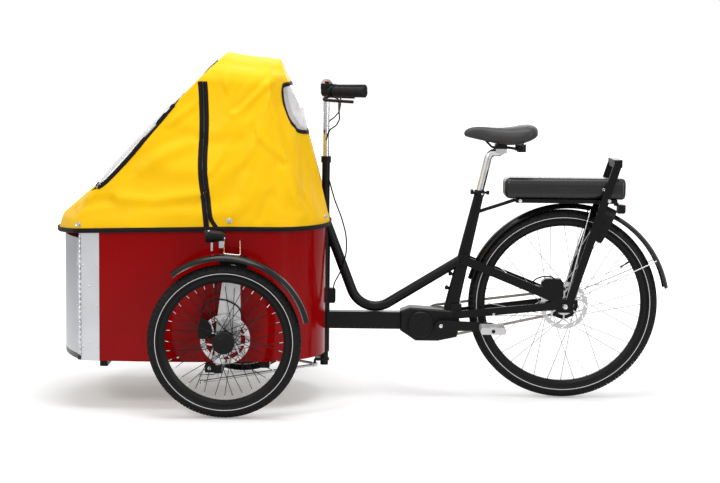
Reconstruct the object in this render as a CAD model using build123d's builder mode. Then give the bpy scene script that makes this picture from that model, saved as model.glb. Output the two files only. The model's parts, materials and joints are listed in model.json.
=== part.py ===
"""Three-wheeled electric cargo bike with a round-ended cargo box in front.

Millimetres. The front of the bike points to -X, the rider's left is -Y and +Z is up.
The origin lies on the floor, midway between the bike's front and rear ends.
Stations are distances behind the front axle, heights are above the floor.
"""
import os
from math import atan2, cos, degrees, radians, sin

from build123d import *

os.makedirs("parts", exist_ok=True)

# ---------------------------------------------------------------- driving dimensions
front_axle_x = -452.0
wheelbase = 1119.0
kingpin_to_tyre = 70.0
front_wheel_radius = 248.0
front_tyre_width = 44.0
front_tyre_height = 40.0
rear_wheel_radius = 324.5
rear_tyre_width = 46.0
rear_tyre_height = 40.5
rim_width = 27.0
rim_depth = 19.0
spoke_count = 36
spoke_radius = 1.2
disc_radius = 80.0
disc_thickness = 2.0
disc_ring_width = 15.0
disc_hole_radius = 2.2
tyre_sides = 8

box_bottom_z = 160.0
box_top_z = 592.0
box_front_station = -480.0
box_widest_station = -175.0
box_shoulder_station = 110.0
box_rear_station = 312.0
box_half_width = 306.0
box_front_taper = 15.0
box_shoulder_taper = 20.0
box_rear_half_width = 52.0
box_wall = 8.0
floor_thickness = 12.0
bench_height = 225.0
bench_depth = 190.0
board_thickness = 15.0

door_bulge = 86.0
door_wall = 6.0
door_bottom_z = 163.0
door_top_z = 560.0
hinge_barrel_radius = 5.5
hinge_pin_radius = 2.5
hinge_knuckle_pitch = 44.0
hinge_stand_off = 1.0
strip_width = 66.0
strip_thickness = 2.0

column_station = 309.0
column_radius = 13.5
column_bottom_z = 104.0
column_top_z = 817.0
head_tube_radius = 17.0
head_tube_bottom_z = 150.0
head_tube_top_z = 600.0
stem_radius = 10.5
bar_radius = 11.1
grip_radius = 16.0
bar_z = 1058.0
column_arm = 32.0
column_lock_angle = 30.0
wheel_lock_angle = 20.0
tie_rod_radius = 4.5
rod_eye_radius = 9.0
rod_eye_height = 10.0
rod_eye_spread = 11.0
stud_radius = 4.0

box_to_kingpin = 39.0
kingpin_low_station = -33.0
kingpin_low_z = 112.0
kingpin_high_station = 15.0
kingpin_high_z = 426.0
kingpin_radius = 8.0
leg_thickness = 30.0
front_stub_radius = 10.0

beam_width = 42.0
beam_bottom_z = 232.0
beam_top_z = 290.0
beam_rear_to_crank = 137.0
frame_tube_radius = 17.0
seat_tube_width = 42.0
crank_to_tyre = 91.5
crank_z = 252.0
crank_length = 170.0
crank_axle_radius = 9.0
chainring_radius = 57.0
sprocket_radius = 38.0
chain_y = 46.0
chain_width = 7.0
chain_depth = 9.0
pedal_length = 96.0
pedal_width = 84.0
pedal_height = 22.0

axle_nut_radius = 9.0
axle_nut_height = 8.0
axle_tip_length = 14.0
rear_stay_y = 66.0
stay_thickness = 8.0
stay_front_y = 37.0
rear_axle_radius = 5.0

fender_gap = 21.0
fender_rise = 9.0
fender_wall = 2.0
hood_wall = 3.0
arm_height = 26.0
arm_width = 42.0
spine_width = 30.0
hub_half_width = 36.0
disc_inset = 42.0
front_flange_half = 24.0
front_cap_radius = 35.5
spoke_cross_angle = 60.0
rear_hub_half = 56.0
post_radius = 13.6
saddle_rail_y = 22.0
saddle_rail_radius = 3.5
hose_radius = 2.5
motor_bevel = 5.0
cover_radius = 44.0
cover_depth = 12.0
lock_thickness = 40.0
lock_inner_half = 34.0
lock_outer_half = 58.0
lock_angle = 65.0
seat_clamp_height = 16.0
step_bend = 86.0
motor_half_width = 38.0
fender_front_angle = 128.0
fender_rear_angle = 14.0
rod_eye_bottom_z = 99.0
hood_peak_z = 1162.0
hood_hem_z = 568.0
hood_overhang = 8.0

running_gap = 0.1
seat_gap = 0.3
moving_gap = 5.0

# ---------------------------------------------------------------- derived places
column_x = front_axle_x + column_station
rear_axle_x = front_axle_x + wheelbase
crank_x = rear_axle_x - rear_wheel_radius - crank_to_tyre
box_front_half_width = box_half_width - box_front_taper
box_shoulder_half_width = box_half_width - box_shoulder_taper
kingpin_offset_y = box_half_width + box_to_kingpin
half_track = kingpin_offset_y + kingpin_to_tyre
front_rim_radius = front_wheel_radius - front_tyre_height
rear_rim_radius = rear_wheel_radius - rear_tyre_height
rear_wheel_top_z = 2 * rear_wheel_radius
front_hub = (front_axle_x, -half_track, front_wheel_radius)
rear_hub = (rear_axle_x, 0.0, rear_wheel_radius)


def at(station):
    """X of a place this far behind the front axle."""
    return front_axle_x + station


def mid(distance):
    """X of a place this far behind the crank's axle."""
    return crank_x + distance


def aft(distance):
    """X of a place this far behind the rear axle."""
    return rear_axle_x + distance


def over(height):
    """Height of a place this far above the rear wheel's top."""
    return rear_wheel_top_z + height


def mirrored(part, label):
    """The rider's right-hand twin of a left-hand piece."""
    twin = mirror(part, about=Plane.XZ)
    twin.label = label
    return twin


def save(part, label):
    part.label = label
    export_step(part, f"parts/{label}.step")


def box_plan(inset):
    """Outline of the cargo box in plan, open arcs closed by a straight front line."""
    front = at(box_front_station)
    rear = at(box_rear_station) - inset
    corner = (front, -box_front_half_width + inset)
    widest = (at(box_widest_station), -box_half_width + inset)
    shoulder = (at(box_shoulder_station), -box_shoulder_half_width + inset)
    left_side = ThreePointArc(corner, widest, shoulder)
    left_end = TangentArc(left_side @ 1, (rear, -box_rear_half_width), tangent=left_side % 1)
    Line(left_end @ 1, (rear, box_rear_half_width))
    mirror(about=Plane.XZ)
    Line(corner, (front, box_front_half_width - inset))


def door_arc(inset):
    """Outline of the bowed front in plan, between the two hinge corners."""
    front = at(box_front_station)
    half = box_front_half_width - inset
    Line((front, half), (front, -half))
    ThreePointArc((front, -half), (front - door_bulge + inset, 0), (front, half))


def ring_section(inner_radius, outer_radius, low, high):
    """Rectangle in the XZ plane that a revolve about Z turns into a ring or tube."""
    with Locations(((inner_radius + outer_radius) / 2, (low + high) / 2)):
        Rectangle(outer_radius - inner_radius, high - low)


def tube_path(points, bend, radius, bore=0.0):
    """Round tube or rod along straight runs joined by bends."""
    with BuildLine() as path:
        FilletPolyline(*points, radius=bend)
    with BuildSketch(Plane(path.line @ 0, z_dir=path.line % 0)) as section:
        Circle(radius)
        if bore > 0:
            Circle(bore, mode=Mode.SUBTRACT)
    sweep(section.sketch, path=path.line)


def rod_between(start, end, radius, bore=0.0, sides=0):
    """Straight round or many-sided rod from one point to another."""
    run = Vector(*end) - Vector(*start)
    with BuildSketch(Plane(start, z_dir=run)) as section:
        if sides:
            RegularPolygon(radius, sides)
        else:
            Circle(radius)
        if bore > 0:
            Circle(bore, mode=Mode.SUBTRACT)
    extrude(section.sketch, amount=run.length)


def block(low, high, mode=Mode.ADD):
    """Square-cornered block between two opposite corners."""
    centre = [(a + b) / 2 for a, b in zip(low, high)]
    with Locations(tuple(centre)):
        Box(high[0] - low[0], high[1] - low[1], high[2] - low[2], mode=mode)


# ---------------------------------------------------------------- cargo box
column_notch = head_tube_radius + 4.0
hinge_x = at(box_front_station)
hinge_y = -box_front_half_width - strip_thickness - hinge_stand_off
hinge_clear = hinge_barrel_radius + 2 * seat_gap

with BuildPart() as box_wall_panel:
    with BuildSketch(Plane.XY.offset(box_bottom_z)):
        with BuildLine():
            box_plan(0.0)
        make_face()
        with BuildSketch(mode=Mode.SUBTRACT):
            with BuildLine():
                box_plan(box_wall)
            make_face()
            with Locations((column_x, 0)):
                Circle(column_notch + box_wall, mode=Mode.SUBTRACT)
        with Locations((column_x, 0)):
            Circle(column_notch, mode=Mode.SUBTRACT)
    extrude(amount=box_top_z - box_bottom_z)
    block((hinge_x - 1, -box_half_width, box_bottom_z - 1),
          (hinge_x + hinge_clear, box_half_width, box_top_z + 1), mode=Mode.SUBTRACT)
    block((hinge_x - 1, -box_front_half_width + box_wall, box_bottom_z - 1),
          (hinge_x + hinge_clear + box_wall, box_front_half_width - box_wall, box_top_z + 1),
          mode=Mode.SUBTRACT)
save(box_wall_panel.part, "box_wall")

with BuildPart() as box_floor:
    with BuildSketch(Plane.XY.offset(box_bottom_z)):
        with BuildLine():
            box_plan(box_wall + seat_gap)
        make_face()
        with BuildLine():
            door_arc(door_wall + moving_gap)
        make_face()
        with Locations((column_x, 0)):
            Circle(column_notch + box_wall + seat_gap, mode=Mode.SUBTRACT)
        with Locations((hinge_x, hinge_y), (hinge_x, -hinge_y)):
            Circle(door_wall + box_wall + moving_gap, mode=Mode.SUBTRACT)
    extrude(amount=floor_thickness)
save(box_floor.part, "box_floor")

bench_front_x = at(box_shoulder_station) - bench_depth / 2
bench_top_z = box_bottom_z + floor_thickness + bench_height
with BuildPart() as bench:
    with BuildSketch(Plane.XY.offset(bench_top_z - board_thickness)):
        with BuildLine():
            box_plan(box_wall + seat_gap)
        make_face()
        with Locations((column_x, 0)):
            Circle(column_notch + box_wall + seat_gap, mode=Mode.SUBTRACT)
        with Locations((bench_front_x - 1000, 0)):
            Rectangle(2000, 2000, mode=Mode.SUBTRACT)
    extrude(amount=board_thickness)
    block((bench_front_x, -box_front_half_width + 2 * box_wall, box_bottom_z + floor_thickness),
          (bench_front_x + board_thickness, box_front_half_width - 2 * box_wall,
           bench_top_z - board_thickness))
save(bench.part, "bench")

# ---------------------------------------------------------------- door and its piano hinge
knuckle_count = int((door_top_z - door_bottom_z) // hinge_knuckle_pitch)
knuckle_height = hinge_knuckle_pitch - 2 * seat_gap
knuckle_bottoms = [door_bottom_z + hinge_knuckle_pitch * n for n in range(knuckle_count)]
door_knuckles = knuckle_bottoms[0::2]
strip_knuckles = knuckle_bottoms[1::2]


def barrel(bottoms, bore):
    """Hinge knuckles of one leaf, stacked on the pin's axis."""
    for bottom in bottoms:
        with BuildSketch(Plane((hinge_x, hinge_y, bottom + seat_gap))) as ring:
            Circle(hinge_barrel_radius)
            if bore > 0:
                Circle(bore, mode=Mode.SUBTRACT)
        extrude(ring.sketch, amount=knuckle_height)


with BuildPart() as corner_strips:
    with BuildSketch(Plane.XY.offset(box_bottom_z)):
        with BuildLine():
            box_plan(-strip_thickness)
        make_face()
        with BuildSketch(mode=Mode.SUBTRACT):
            with BuildLine():
                box_plan(0.0)
            make_face()
        with Locations((hinge_x + strip_width + 1000, 0)):
            Rectangle(2000, 2000, mode=Mode.SUBTRACT)
    extrude(amount=box_top_z - box_bottom_z)
    for bottom in door_knuckles:
        with Locations((hinge_x, hinge_y, bottom + hinge_knuckle_pitch / 2)):
            Cylinder(hinge_barrel_radius + 2 * seat_gap, hinge_knuckle_pitch, mode=Mode.SUBTRACT)
    barrel(strip_knuckles, 0.0)
    rod_between((hinge_x, hinge_y, door_bottom_z), (hinge_x, hinge_y, door_top_z),
                hinge_pin_radius)
save(corner_strips.part, "corner_strips")

with BuildPart() as door_panel:
    with BuildSketch(Plane.XY.offset(door_bottom_z)):
        with BuildLine():
            door_arc(0.0)
        make_face()
        with BuildSketch(mode=Mode.SUBTRACT):
            with BuildLine():
                door_arc(door_wall)
            make_face()
        with Locations((hinge_x, box_front_half_width)):
            Rectangle(2 * moving_gap, 4 * moving_gap, mode=Mode.SUBTRACT)
    extrude(amount=door_top_z - door_bottom_z)
    for bottom in strip_knuckles:
        with Locations((hinge_x, hinge_y, bottom + hinge_knuckle_pitch / 2)):
            Cylinder(hinge_barrel_radius + 2 * seat_gap, hinge_knuckle_pitch, mode=Mode.SUBTRACT)
    barrel(door_knuckles, 0.0)
    with Locations((hinge_x, hinge_y, (door_bottom_z + door_top_z) / 2)):
        Cylinder(hinge_pin_radius + running_gap, door_top_z - door_bottom_z + 2, mode=Mode.SUBTRACT)
save(door_panel.part, "door_panel")

latch_y = box_front_half_width - 45
latch_x = hinge_x - door_bulge * (1 - (latch_y / box_front_half_width) ** 2) - 1
with BuildPart() as door_latch:
    with BuildSketch(Plane((latch_x, latch_y, 480), z_dir=(-0.87, 0.49, 0))):
        SlotOverall(90, 26, rotation=90)
    extrude(amount=12)
    add(door_panel.part, mode=Mode.SUBTRACT)
save(door_latch.part, "door_latch")

# ---------------------------------------------------------------- under the box
kingpin_low = Vector(at(kingpin_low_station), -kingpin_offset_y, kingpin_low_z)
kingpin_run = Vector(kingpin_high_station - kingpin_low_station, 0, kingpin_high_z - kingpin_low_z)
kingpin_dir = kingpin_run.normalized()
kingpin_lean = degrees(atan2(kingpin_dir.X, kingpin_dir.Z))


def kingpin_plane(height):
    """Plane square to the left kingpin where its axis is this far above the floor."""
    run = (height - kingpin_low_z) / kingpin_dir.Z
    return Plane(kingpin_low + kingpin_dir * run, x_dir=(kingpin_dir.Z, 0, -kingpin_dir.X),
                 z_dir=kingpin_dir)


def kingpin_bore(low, high):
    """Running hole for the kingpin between two heights."""
    with BuildSketch(kingpin_plane(low)) as hole:
        Circle(kingpin_radius + running_gap)
    extrude(hole.sketch, amount=(high - low) / kingpin_dir.Z, mode=Mode.SUBTRACT)


lower_arm_top_z = box_bottom_z
lower_arm_bottom_z = lower_arm_top_z - arm_height
upper_lug_bottom_z = 462.0
upper_lug_top_z = upper_lug_bottom_z + 18.0
arm_x = (kingpin_plane(lower_arm_top_z)).origin.X

with BuildPart() as axle_frame:
    block((arm_x - arm_width, -kingpin_offset_y, lower_arm_bottom_z),
          (arm_x + arm_width / 3, 0, lower_arm_top_z))
    with BuildSketch(Plane.XY.offset(lower_arm_bottom_z)):
        with Locations((arm_x, -kingpin_offset_y)):
            Circle(arm_width / 3)
    extrude(amount=arm_height)
    block((at(box_front_station) + 60, -spine_width / 2, lower_arm_bottom_z),
          (column_x, 0, lower_arm_top_z))
    for station in (box_front_station + 60, box_shoulder_station):
        block((at(station), -box_front_half_width + 40, lower_arm_bottom_z),
              (at(station) + 25, 0, lower_arm_top_z))
    kingpin_bore(lower_arm_bottom_z - 10, lower_arm_top_z + 10)
    mirror(about=Plane.XZ)
    with Locations((column_x, 0, head_tube_bottom_z)):
        Cylinder(head_tube_radius, 100, mode=Mode.SUBTRACT)
save(axle_frame.part, "axle_frame")

lug_plane = kingpin_plane(upper_lug_bottom_z)
lug_height = upper_lug_top_z - upper_lug_bottom_z
with BuildPart() as upper_lugs:
    with BuildSketch(lug_plane):
        Circle(arm_width / 2.4)
        with Locations((0, (kingpin_offset_y - box_half_width) / 2 + 4)):
            Rectangle(arm_width / 1.2, kingpin_offset_y - box_half_width + 8)
    extrude(amount=lug_height)
    block((lug_plane.origin.X - 45, -box_half_width - 6, upper_lug_bottom_z - 30),
          (lug_plane.origin.X + 45, -box_half_width + 12, upper_lug_top_z + 30))
    add(box_wall_panel.part, mode=Mode.SUBTRACT)
    block((lug_plane.origin.X - 80, -box_half_width + box_wall / 2, upper_lug_bottom_z - 60),
          (lug_plane.origin.X + 80, 0, upper_lug_top_z + 60), mode=Mode.SUBTRACT)
    kingpin_bore(upper_lug_bottom_z - 10, upper_lug_top_z + 10)
    mirror(about=Plane.XZ)
save(upper_lugs.part, "upper_lugs")

# ---------------------------------------------------------------- steering knuckles
leg_bottom_z = lower_arm_top_z + 6
leg_top_z = upper_lug_bottom_z - 3
leg_outer_y = -kingpin_offset_y - leg_thickness * 0.65
knuckle_arm = column_arm * sin(radians(column_lock_angle)) / sin(radians(wheel_lock_angle))
knuckle_arm_top_z = lower_arm_bottom_z - 6
knuckle_arm_bottom_z = knuckle_arm_top_z - 9

with BuildPart() as left_knuckle:
    with BuildSketch(kingpin_plane(leg_bottom_z)):
        Circle(kingpin_radius + 9)
    extrude(amount=(leg_top_z - leg_bottom_z) / kingpin_dir.Z)
    with BuildSketch(Plane.XZ.offset(-leg_outer_y - leg_thickness * 0.6)):
        with BuildLine():
            Polyline((at(-8), leg_top_z - 6), (at(46), leg_top_z - 6), (at(49), 313), (at(48), 215),
                     (at(14), 196), (at(-20), 180), (at(-34), 196), (at(-33), 240),
                     (at(-27), 312), close=True)
        make_face()
    extrude(amount=leg_thickness * 0.6)
    with BuildSketch(Plane.XZ.offset(-leg_outer_y)):
        with BuildLine():
            Line((at(9), 318), (at(4), leg_top_z - 26))
            Line((at(9), 318), (at(34), leg_top_z - 26))
            Line((at(9), 318), (at(4), 268))
        trace(line_width=9)
    extrude(amount=-4, mode=Mode.SUBTRACT)
    with BuildSketch(kingpin_plane(knuckle_arm_bottom_z)):
        Circle(kingpin_radius)
    extrude(amount=(upper_lug_top_z + 4 - knuckle_arm_bottom_z) / kingpin_dir.Z)
    arm_root = kingpin_plane(knuckle_arm_bottom_z).origin
    rod_end = Vector(arm_root.X - knuckle_arm, -kingpin_offset_y, knuckle_arm_bottom_z)
    with BuildSketch(Plane.XY.offset(knuckle_arm_bottom_z)):
        with Locations(((arm_root.X + rod_end.X) / 2, -kingpin_offset_y)):
            SlotCenterToCenter(knuckle_arm, 2 * rod_eye_radius)
    extrude(amount=knuckle_arm_top_z - knuckle_arm_bottom_z)
    rod_between((front_axle_x, leg_outer_y + 2, front_wheel_radius),
                (front_axle_x, -half_track - hub_half_width - 6, front_wheel_radius),
                front_stub_radius)
save(left_knuckle.part, "knuckle_left")
save(mirrored(left_knuckle.part, "knuckle_right"), "knuckle_right")

caliper_low_z = 250.0
disc_y = -half_track + disc_inset
hose_y = leg_outer_y - hose_radius - seat_gap
hose_bends = (22, 24, 30, 45, 45, 32)
with BuildPart() as left_caliper:
    with BuildSketch(Plane.XZ.offset(-disc_y - 17)):
        with BuildLine():
            Polyline((at(-85), caliper_low_z), (at(-85), 292), (at(-78), 314), (at(-60), 314),
                     (at(-44), 292), (at(-44), caliper_low_z), close=True)
        make_face()
    extrude(amount=30)
    fillet(left_caliper.edges().filter_by(Axis.Y), radius=4)
    block((at(-60), disc_y + 9, caliper_low_z + 4), (at(-20), disc_y + 17, 290))
    with BuildSketch(Plane(front_hub, z_dir=(0, -1, 0)).offset(-disc_inset - moving_gap)):
        Circle(disc_radius + moving_gap)
    extrude(amount=2 * moving_gap, mode=Mode.SUBTRACT)
    tube_path([(at(-74), hose_y, 312), (at(-78), hose_y, 340), (at(-62), hose_y, 364),
               (at(-32), hose_y, 377), (at(2), hose_y, 374), (at(36), hose_y, 358),
               (at(54), hose_y, 334), (at(47), -kingpin_offset_y - 8, 310)], hose_bends, hose_radius)
    add(left_knuckle.part, mode=Mode.SUBTRACT)
save(left_caliper.part, "caliper_left")
save(mirrored(left_caliper.part, "caliper_right"), "caliper_right")


# ---------------------------------------------------------------- wheels
def spin_plane(hub):
    """Plane through the wheel's axle with its X outward along a spoke and Y along the axle."""
    return Plane(hub, x_dir=(1, 0, 0), z_dir=(0, 0, 1))


def wheel_rings(rings):
    """Rings about the axle, each an inner radius, outer radius, low and high side."""
    for ring in rings:
        ring_section(*ring)


def lacing(hub, flange_radius, flange_side, rim_inner, side_shift):
    """Start planes and length of one side's crossed spokes."""
    per_side = spoke_count // 2
    planes = []
    for number in range(per_side):
        rim_angle = radians(360 / per_side * number + side_shift)
        lean = radians(spoke_cross_angle) * (1 if number % 2 else -1)
        start = Vector(hub[0] + flange_radius * cos(rim_angle + lean), hub[1] + flange_side,
                       hub[2] + flange_radius * sin(rim_angle + lean))
        end = Vector(hub[0] + rim_inner * cos(rim_angle), hub[1] + flange_side / 8,
                     hub[2] + rim_inner * sin(rim_angle))
        planes.append(Plane(start, z_dir=end - start))
        length = (end - start).length
    return planes, length


def build_wheel(name, hub, radius, tyre_width, rim_radius, flange_radius, flange_half, hub_rings):
    """Tyre, and rim, spokes and hub as one laced wheel; the wheel is returned for trimming."""
    tyre_radius = tyre_width / 2
    with BuildPart() as tyre:
        with BuildSketch(spin_plane(hub)):
            with Locations((radius - tyre_radius, 0)):
                RegularPolygon(tyre_radius, tyre_sides, major_radius=False, rotation=180 / tyre_sides)
            with Locations((rim_radius / 2 + seat_gap / 2, 0)):
                Rectangle(rim_radius + seat_gap, tyre_width, mode=Mode.SUBTRACT)
        revolve(axis=Axis(hub, (0, 1, 0)))
    save(tyre.part, f"tyre_{name}")
    rim_inner = rim_radius - rim_depth
    with BuildPart() as wheel:
        with BuildSketch(spin_plane(hub)):
            with BuildLine():
                Polyline((rim_inner, -rim_width / 5), (rim_inner + rim_depth / 2, -rim_width / 2),
                         (rim_radius, -rim_width / 2), (rim_radius, rim_width / 2),
                         (rim_inner + rim_depth / 2, rim_width / 2), (rim_inner, rim_width / 5),
                         close=True)
            make_face()
            wheel_rings(hub_rings)
        revolve(axis=Axis(hub, (0, 1, 0)))
        for side, shift in ((-1, 0), (1, 180 / spoke_count * 2)):
            planes, length = lacing(hub, flange_radius - 1.5, side * flange_half, rim_inner + 2, shift)
            with BuildSketch(*planes):
                RegularPolygon(spoke_radius, 5)
            extrude(amount=length)
    save(wheel.part, f"wheel_{name}")
    return tyre.part, wheel.part


def build_disc(name, hub, side_y, bore):
    """Brake disc: a drilled braking ring on a carrier with six forked arms."""
    ring_inner = disc_radius - disc_ring_width
    fork = (ring_inner + bore) / 2
    with BuildSketch() as arm:
        with BuildLine():
            Line((bore + 4, 0), (fork, 0))
            Line((fork, 0), (ring_inner - 2, 19))
            Line((fork, 0), (ring_inner - 2, -19))
        trace(line_width=5)
    with BuildPart() as disc:
        with BuildSketch(Plane((hub[0], side_y - disc_thickness / 2, hub[2]), z_dir=(0, 1, 0))):
            Circle(disc_radius)
            Circle(ring_inner, mode=Mode.SUBTRACT)
            Circle(bore + 9)
            with PolarLocations(0, 6):
                add(arm.sketch)
            with PolarLocations(0, 12):
                with Locations((ring_inner + 4, -5), (ring_inner + 7.5, 0), (ring_inner + 11, 5)):
                    RegularPolygon(disc_hole_radius, 8, mode=Mode.SUBTRACT)
            Circle(bore, mode=Mode.SUBTRACT)
        extrude(amount=disc_thickness)
    save(disc.part, f"disc_{name}")
    return disc.part


front_bore = front_stub_radius + running_gap
front_rings = [
    (front_bore, 17, -hub_half_width, disc_inset + disc_thickness),
    (front_bore, 24, front_flange_half, disc_inset - disc_thickness / 2 - running_gap),
    (front_bore, 30, -front_flange_half - 2, -front_flange_half + 2),
    (front_bore, 30, front_flange_half - 2, front_flange_half + 2),
    (front_bore, front_cap_radius, -hub_half_width, -front_flange_half - 4),
]
front_tyre, front_wheel = build_wheel("left", front_hub, front_wheel_radius, front_tyre_width,
                                      front_rim_radius, 30, front_flange_half, front_rings)
save(mirrored(front_tyre, "tyre_right"), "tyre_right")
save(mirrored(front_wheel, "wheel_right"), "wheel_right")
front_disc = build_disc("left", front_hub, disc_y, front_bore + 7)
save(mirrored(front_disc, "disc_right"), "disc_right")

rear_bore = rear_axle_radius + running_gap
rear_rings = [
    (rear_bore, 44, -24, 26),
    (rear_bore, 50, -24, -20),
    (rear_bore, 50, 22, 26),
    (rear_bore, 24, -rear_hub_half, rear_hub_half),
    (rear_bore, sprocket_radius - chain_depth / 2 - 1, chain_y - 1.5, chain_y + 1.5),
]
build_wheel("rear", rear_hub, rear_wheel_radius, rear_tyre_width, rear_rim_radius, 50, 22,
            rear_rings)
rear_disc_y = -rear_hub_half + 6
build_disc("rear", rear_hub, rear_disc_y, 24 + running_gap)

# ---------------------------------------------------------------- steering column and bars
with BuildPart() as steering_column:
    rod_between((column_x, 0, column_bottom_z), (column_x, 0, column_top_z), column_radius)
    with BuildSketch(Plane.XY.offset(column_top_z - 22)):
        with Locations((column_x, 0)):
            Circle(column_radius + 3.5)
    extrude(amount=22)
    with BuildSketch(Plane.XY.offset(knuckle_arm_bottom_z)):
        with Locations((column_x, 0)):
            Circle(column_radius + 4)
        with Locations((column_x - column_arm / 2, 0)):
            Rectangle(column_arm, 2 * rod_eye_spread + 2 * rod_eye_radius - 4)
    extrude(amount=knuckle_arm_top_z - knuckle_arm_bottom_z)
    for side in (-1, 1):
        rod_between((column_x - column_arm, side * rod_eye_spread, rod_eye_bottom_z),
                    (column_x - column_arm, side * rod_eye_spread, knuckle_arm_bottom_z + 1),
                    stud_radius)
save(steering_column.part, "steering_column")

with BuildPart() as head_tube:
    with BuildSketch(Plane.XY.offset(head_tube_bottom_z)):
        with Locations((column_x, 0)):
            Circle(head_tube_radius)
            Circle(column_radius + running_gap, mode=Mode.SUBTRACT)
    extrude(amount=head_tube_top_z - head_tube_bottom_z)
save(head_tube.part, "head_tube")

with BuildPart() as stem_post:
    rod_between((column_x, 0, column_top_z), (column_x, 0, bar_z + bar_radius + 6), stem_radius)
    with BuildSketch(Plane.XZ.offset(-20)):
        with Locations((column_x, bar_z)):
            Circle(bar_radius + 8)
    extrude(amount=40)
    with BuildSketch(Plane.XZ.offset(-60)):
        with Locations((column_x, bar_z)):
            Circle(bar_radius + seat_gap)
    extrude(amount=120, mode=Mode.SUBTRACT)
save(stem_post.part, "stem_post")

grip_inner = Vector(at(338), -228, bar_z - 20)
grip_outer = Vector(at(434), -300, bar_z - 20)
with BuildPart() as handlebar:
    tube_path([(column_x, 0, bar_z), (column_x, -95, bar_z),
               tuple(grip_inner - (grip_outer - grip_inner) * 0.35), tuple(grip_outer)],
              (60, 32), bar_radius)
    mirror(about=Plane.XZ)
save(handlebar.part, "handlebar")

with BuildPart() as grips:
    rod_between(grip_inner, grip_outer + (grip_outer - grip_inner).normalized() * 3, grip_radius)
    add(handlebar.part, mode=Mode.SUBTRACT)
    mirror(about=Plane.XZ)
save(grips.part, "grips")

lever_start = grip_inner - (grip_outer - grip_inner).normalized() * 17
with BuildPart() as brake_levers:
    tube_path([tuple(lever_start + Vector(-1, -12, -13)), tuple(lever_start + Vector(-26, -34, -26)),
               tuple(grip_outer + Vector(-34, -8, -30))], 12, 5)
    with BuildSketch(Plane(lever_start, z_dir=grip_outer - grip_inner)):
        Circle(bar_radius + 7)
        Circle(bar_radius + seat_gap, mode=Mode.SUBTRACT)
    extrude(amount=14)
    mirror(about=Plane.XZ)
save(brake_levers.part, "brake_levers")

bar_run = (grip_outer - grip_inner).normalized()
thumb_place = grip_inner - bar_run * 42
thumb_plane = Plane(thumb_place, x_dir=bar_run.cross(Vector(0, 0, 1)), z_dir=bar_run)
with BuildPart() as bar_controls:
    with BuildSketch(thumb_plane):
        Circle(bar_radius + 5)
        with Locations((0, -bar_radius - 5)):
            RectangleRounded(34, 22, 5)
        Circle(bar_radius + seat_gap, mode=Mode.SUBTRACT)
    extrude(amount=24)
    with BuildSketch(Plane.XY.offset(thumb_place.Z + bar_radius + 10)):
        with Locations((thumb_place.X + bar_run.X * 12, thumb_place.Y + bar_run.Y * 12)):
            Circle(7.5)
    extrude(amount=11)
    add(handlebar.part, mode=Mode.SUBTRACT)
save(bar_controls.part, "bar_controls")

lever_root = lever_start + Vector(-1, -12, -13)
with BuildPart() as bar_cables:
    tube_path([tuple(lever_root + Vector(8, 0, 0)), tuple(lever_root + Vector(30, 18, -12)),
               (column_x + 44, -150, 976), (column_x + 46, -104, 946), (column_x + 34, -58, 922),
               (column_x + 10, -22, 906), (column_x, -stem_radius - 1, 872)], (24, 45, 60, 60, 40), hose_radius)
    tube_path([(lever_root.X + 8, -lever_root.Y, lever_root.Z), (lever_root.X + 30, -lever_root.Y - 18, lever_root.Z - 12),
               (column_x + 44, 150, 984), (column_x + 40, 104, 962), (column_x + 26, 58, 946),
               (column_x + 6, 24, 932), (column_x, stem_radius + 1, 896)], (24, 45, 60, 60, 40), hose_radius)
    for neighbour in (brake_levers, grips, stem_post):
        add(neighbour.part, mode=Mode.SUBTRACT)
save(bar_cables.part, "bar_cables")

# ---------------------------------------------------------------- tie rods
with BuildPart() as left_tie_rod:
    inner_eye = (column_x - column_arm, -rod_eye_spread)
    with BuildSketch(Plane.XY.offset(rod_eye_bottom_z)):
        with Locations(inner_eye):
            Circle(rod_eye_radius)
            Circle(stud_radius + running_gap, mode=Mode.SUBTRACT)
    extrude(amount=rod_eye_height)
    with BuildSketch(Plane.XY.offset(rod_eye_bottom_z)):
        with Locations((rod_end.X, rod_end.Y)):
            Circle(rod_eye_radius)
    extrude(amount=rod_eye_height)
    centre_z = rod_eye_bottom_z + rod_eye_height / 2
    run = Vector(rod_end.X - inner_eye[0], rod_end.Y - inner_eye[1], 0).normalized()
    rod_between((inner_eye[0] + run.X * (stud_radius + 3), inner_eye[1] + run.Y * (stud_radius + 3), centre_z),
                (rod_end.X, rod_end.Y, centre_z), tie_rod_radius)
save(left_tie_rod.part, "tie_rod_left")
save(mirrored(left_tie_rod.part, "tie_rod_right"), "tie_rod_right")

# ---------------------------------------------------------------- rear frame
beam_low = (column_x, -beam_width / 2, beam_bottom_z)
with BuildPart() as main_beam:
    block(beam_low, (mid(-beam_rear_to_crank), beam_width / 2, beam_top_z))
    with Locations((column_x, 0, beam_bottom_z)):
        Cylinder(head_tube_radius, 300, mode=Mode.SUBTRACT)
    block((column_x - 40, -beam_width, beam_bottom_z - 1),
          (column_x + 8, beam_width, beam_top_z + 1), mode=Mode.SUBTRACT)
save(main_beam.part, "main_beam")

seat_low = Vector(mid(35), 0, 299)
seat_high = Vector(mid(124), 0, 690)
seat_plane = Plane(seat_low, x_dir=(seat_high.Z - seat_low.Z, 0, seat_low.X - seat_high.X),
                   z_dir=seat_high - seat_low)
seat_length = (seat_high - seat_low).length
with BuildPart() as seat_tube:
    with BuildSketch(seat_plane):
        RectangleRounded(seat_tube_width + 6, seat_tube_width - 4, 10)
    with BuildSketch(seat_plane.offset(seat_length)):
        RectangleRounded(seat_tube_width - 10, seat_tube_width - 10, 10)
    loft()
    with BuildSketch(seat_plane.offset(seat_length * 0.6)):
        Circle(post_radius + seat_gap)
    extrude(amount=seat_length, mode=Mode.SUBTRACT)
save(seat_tube.part, "seat_tube")

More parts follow.
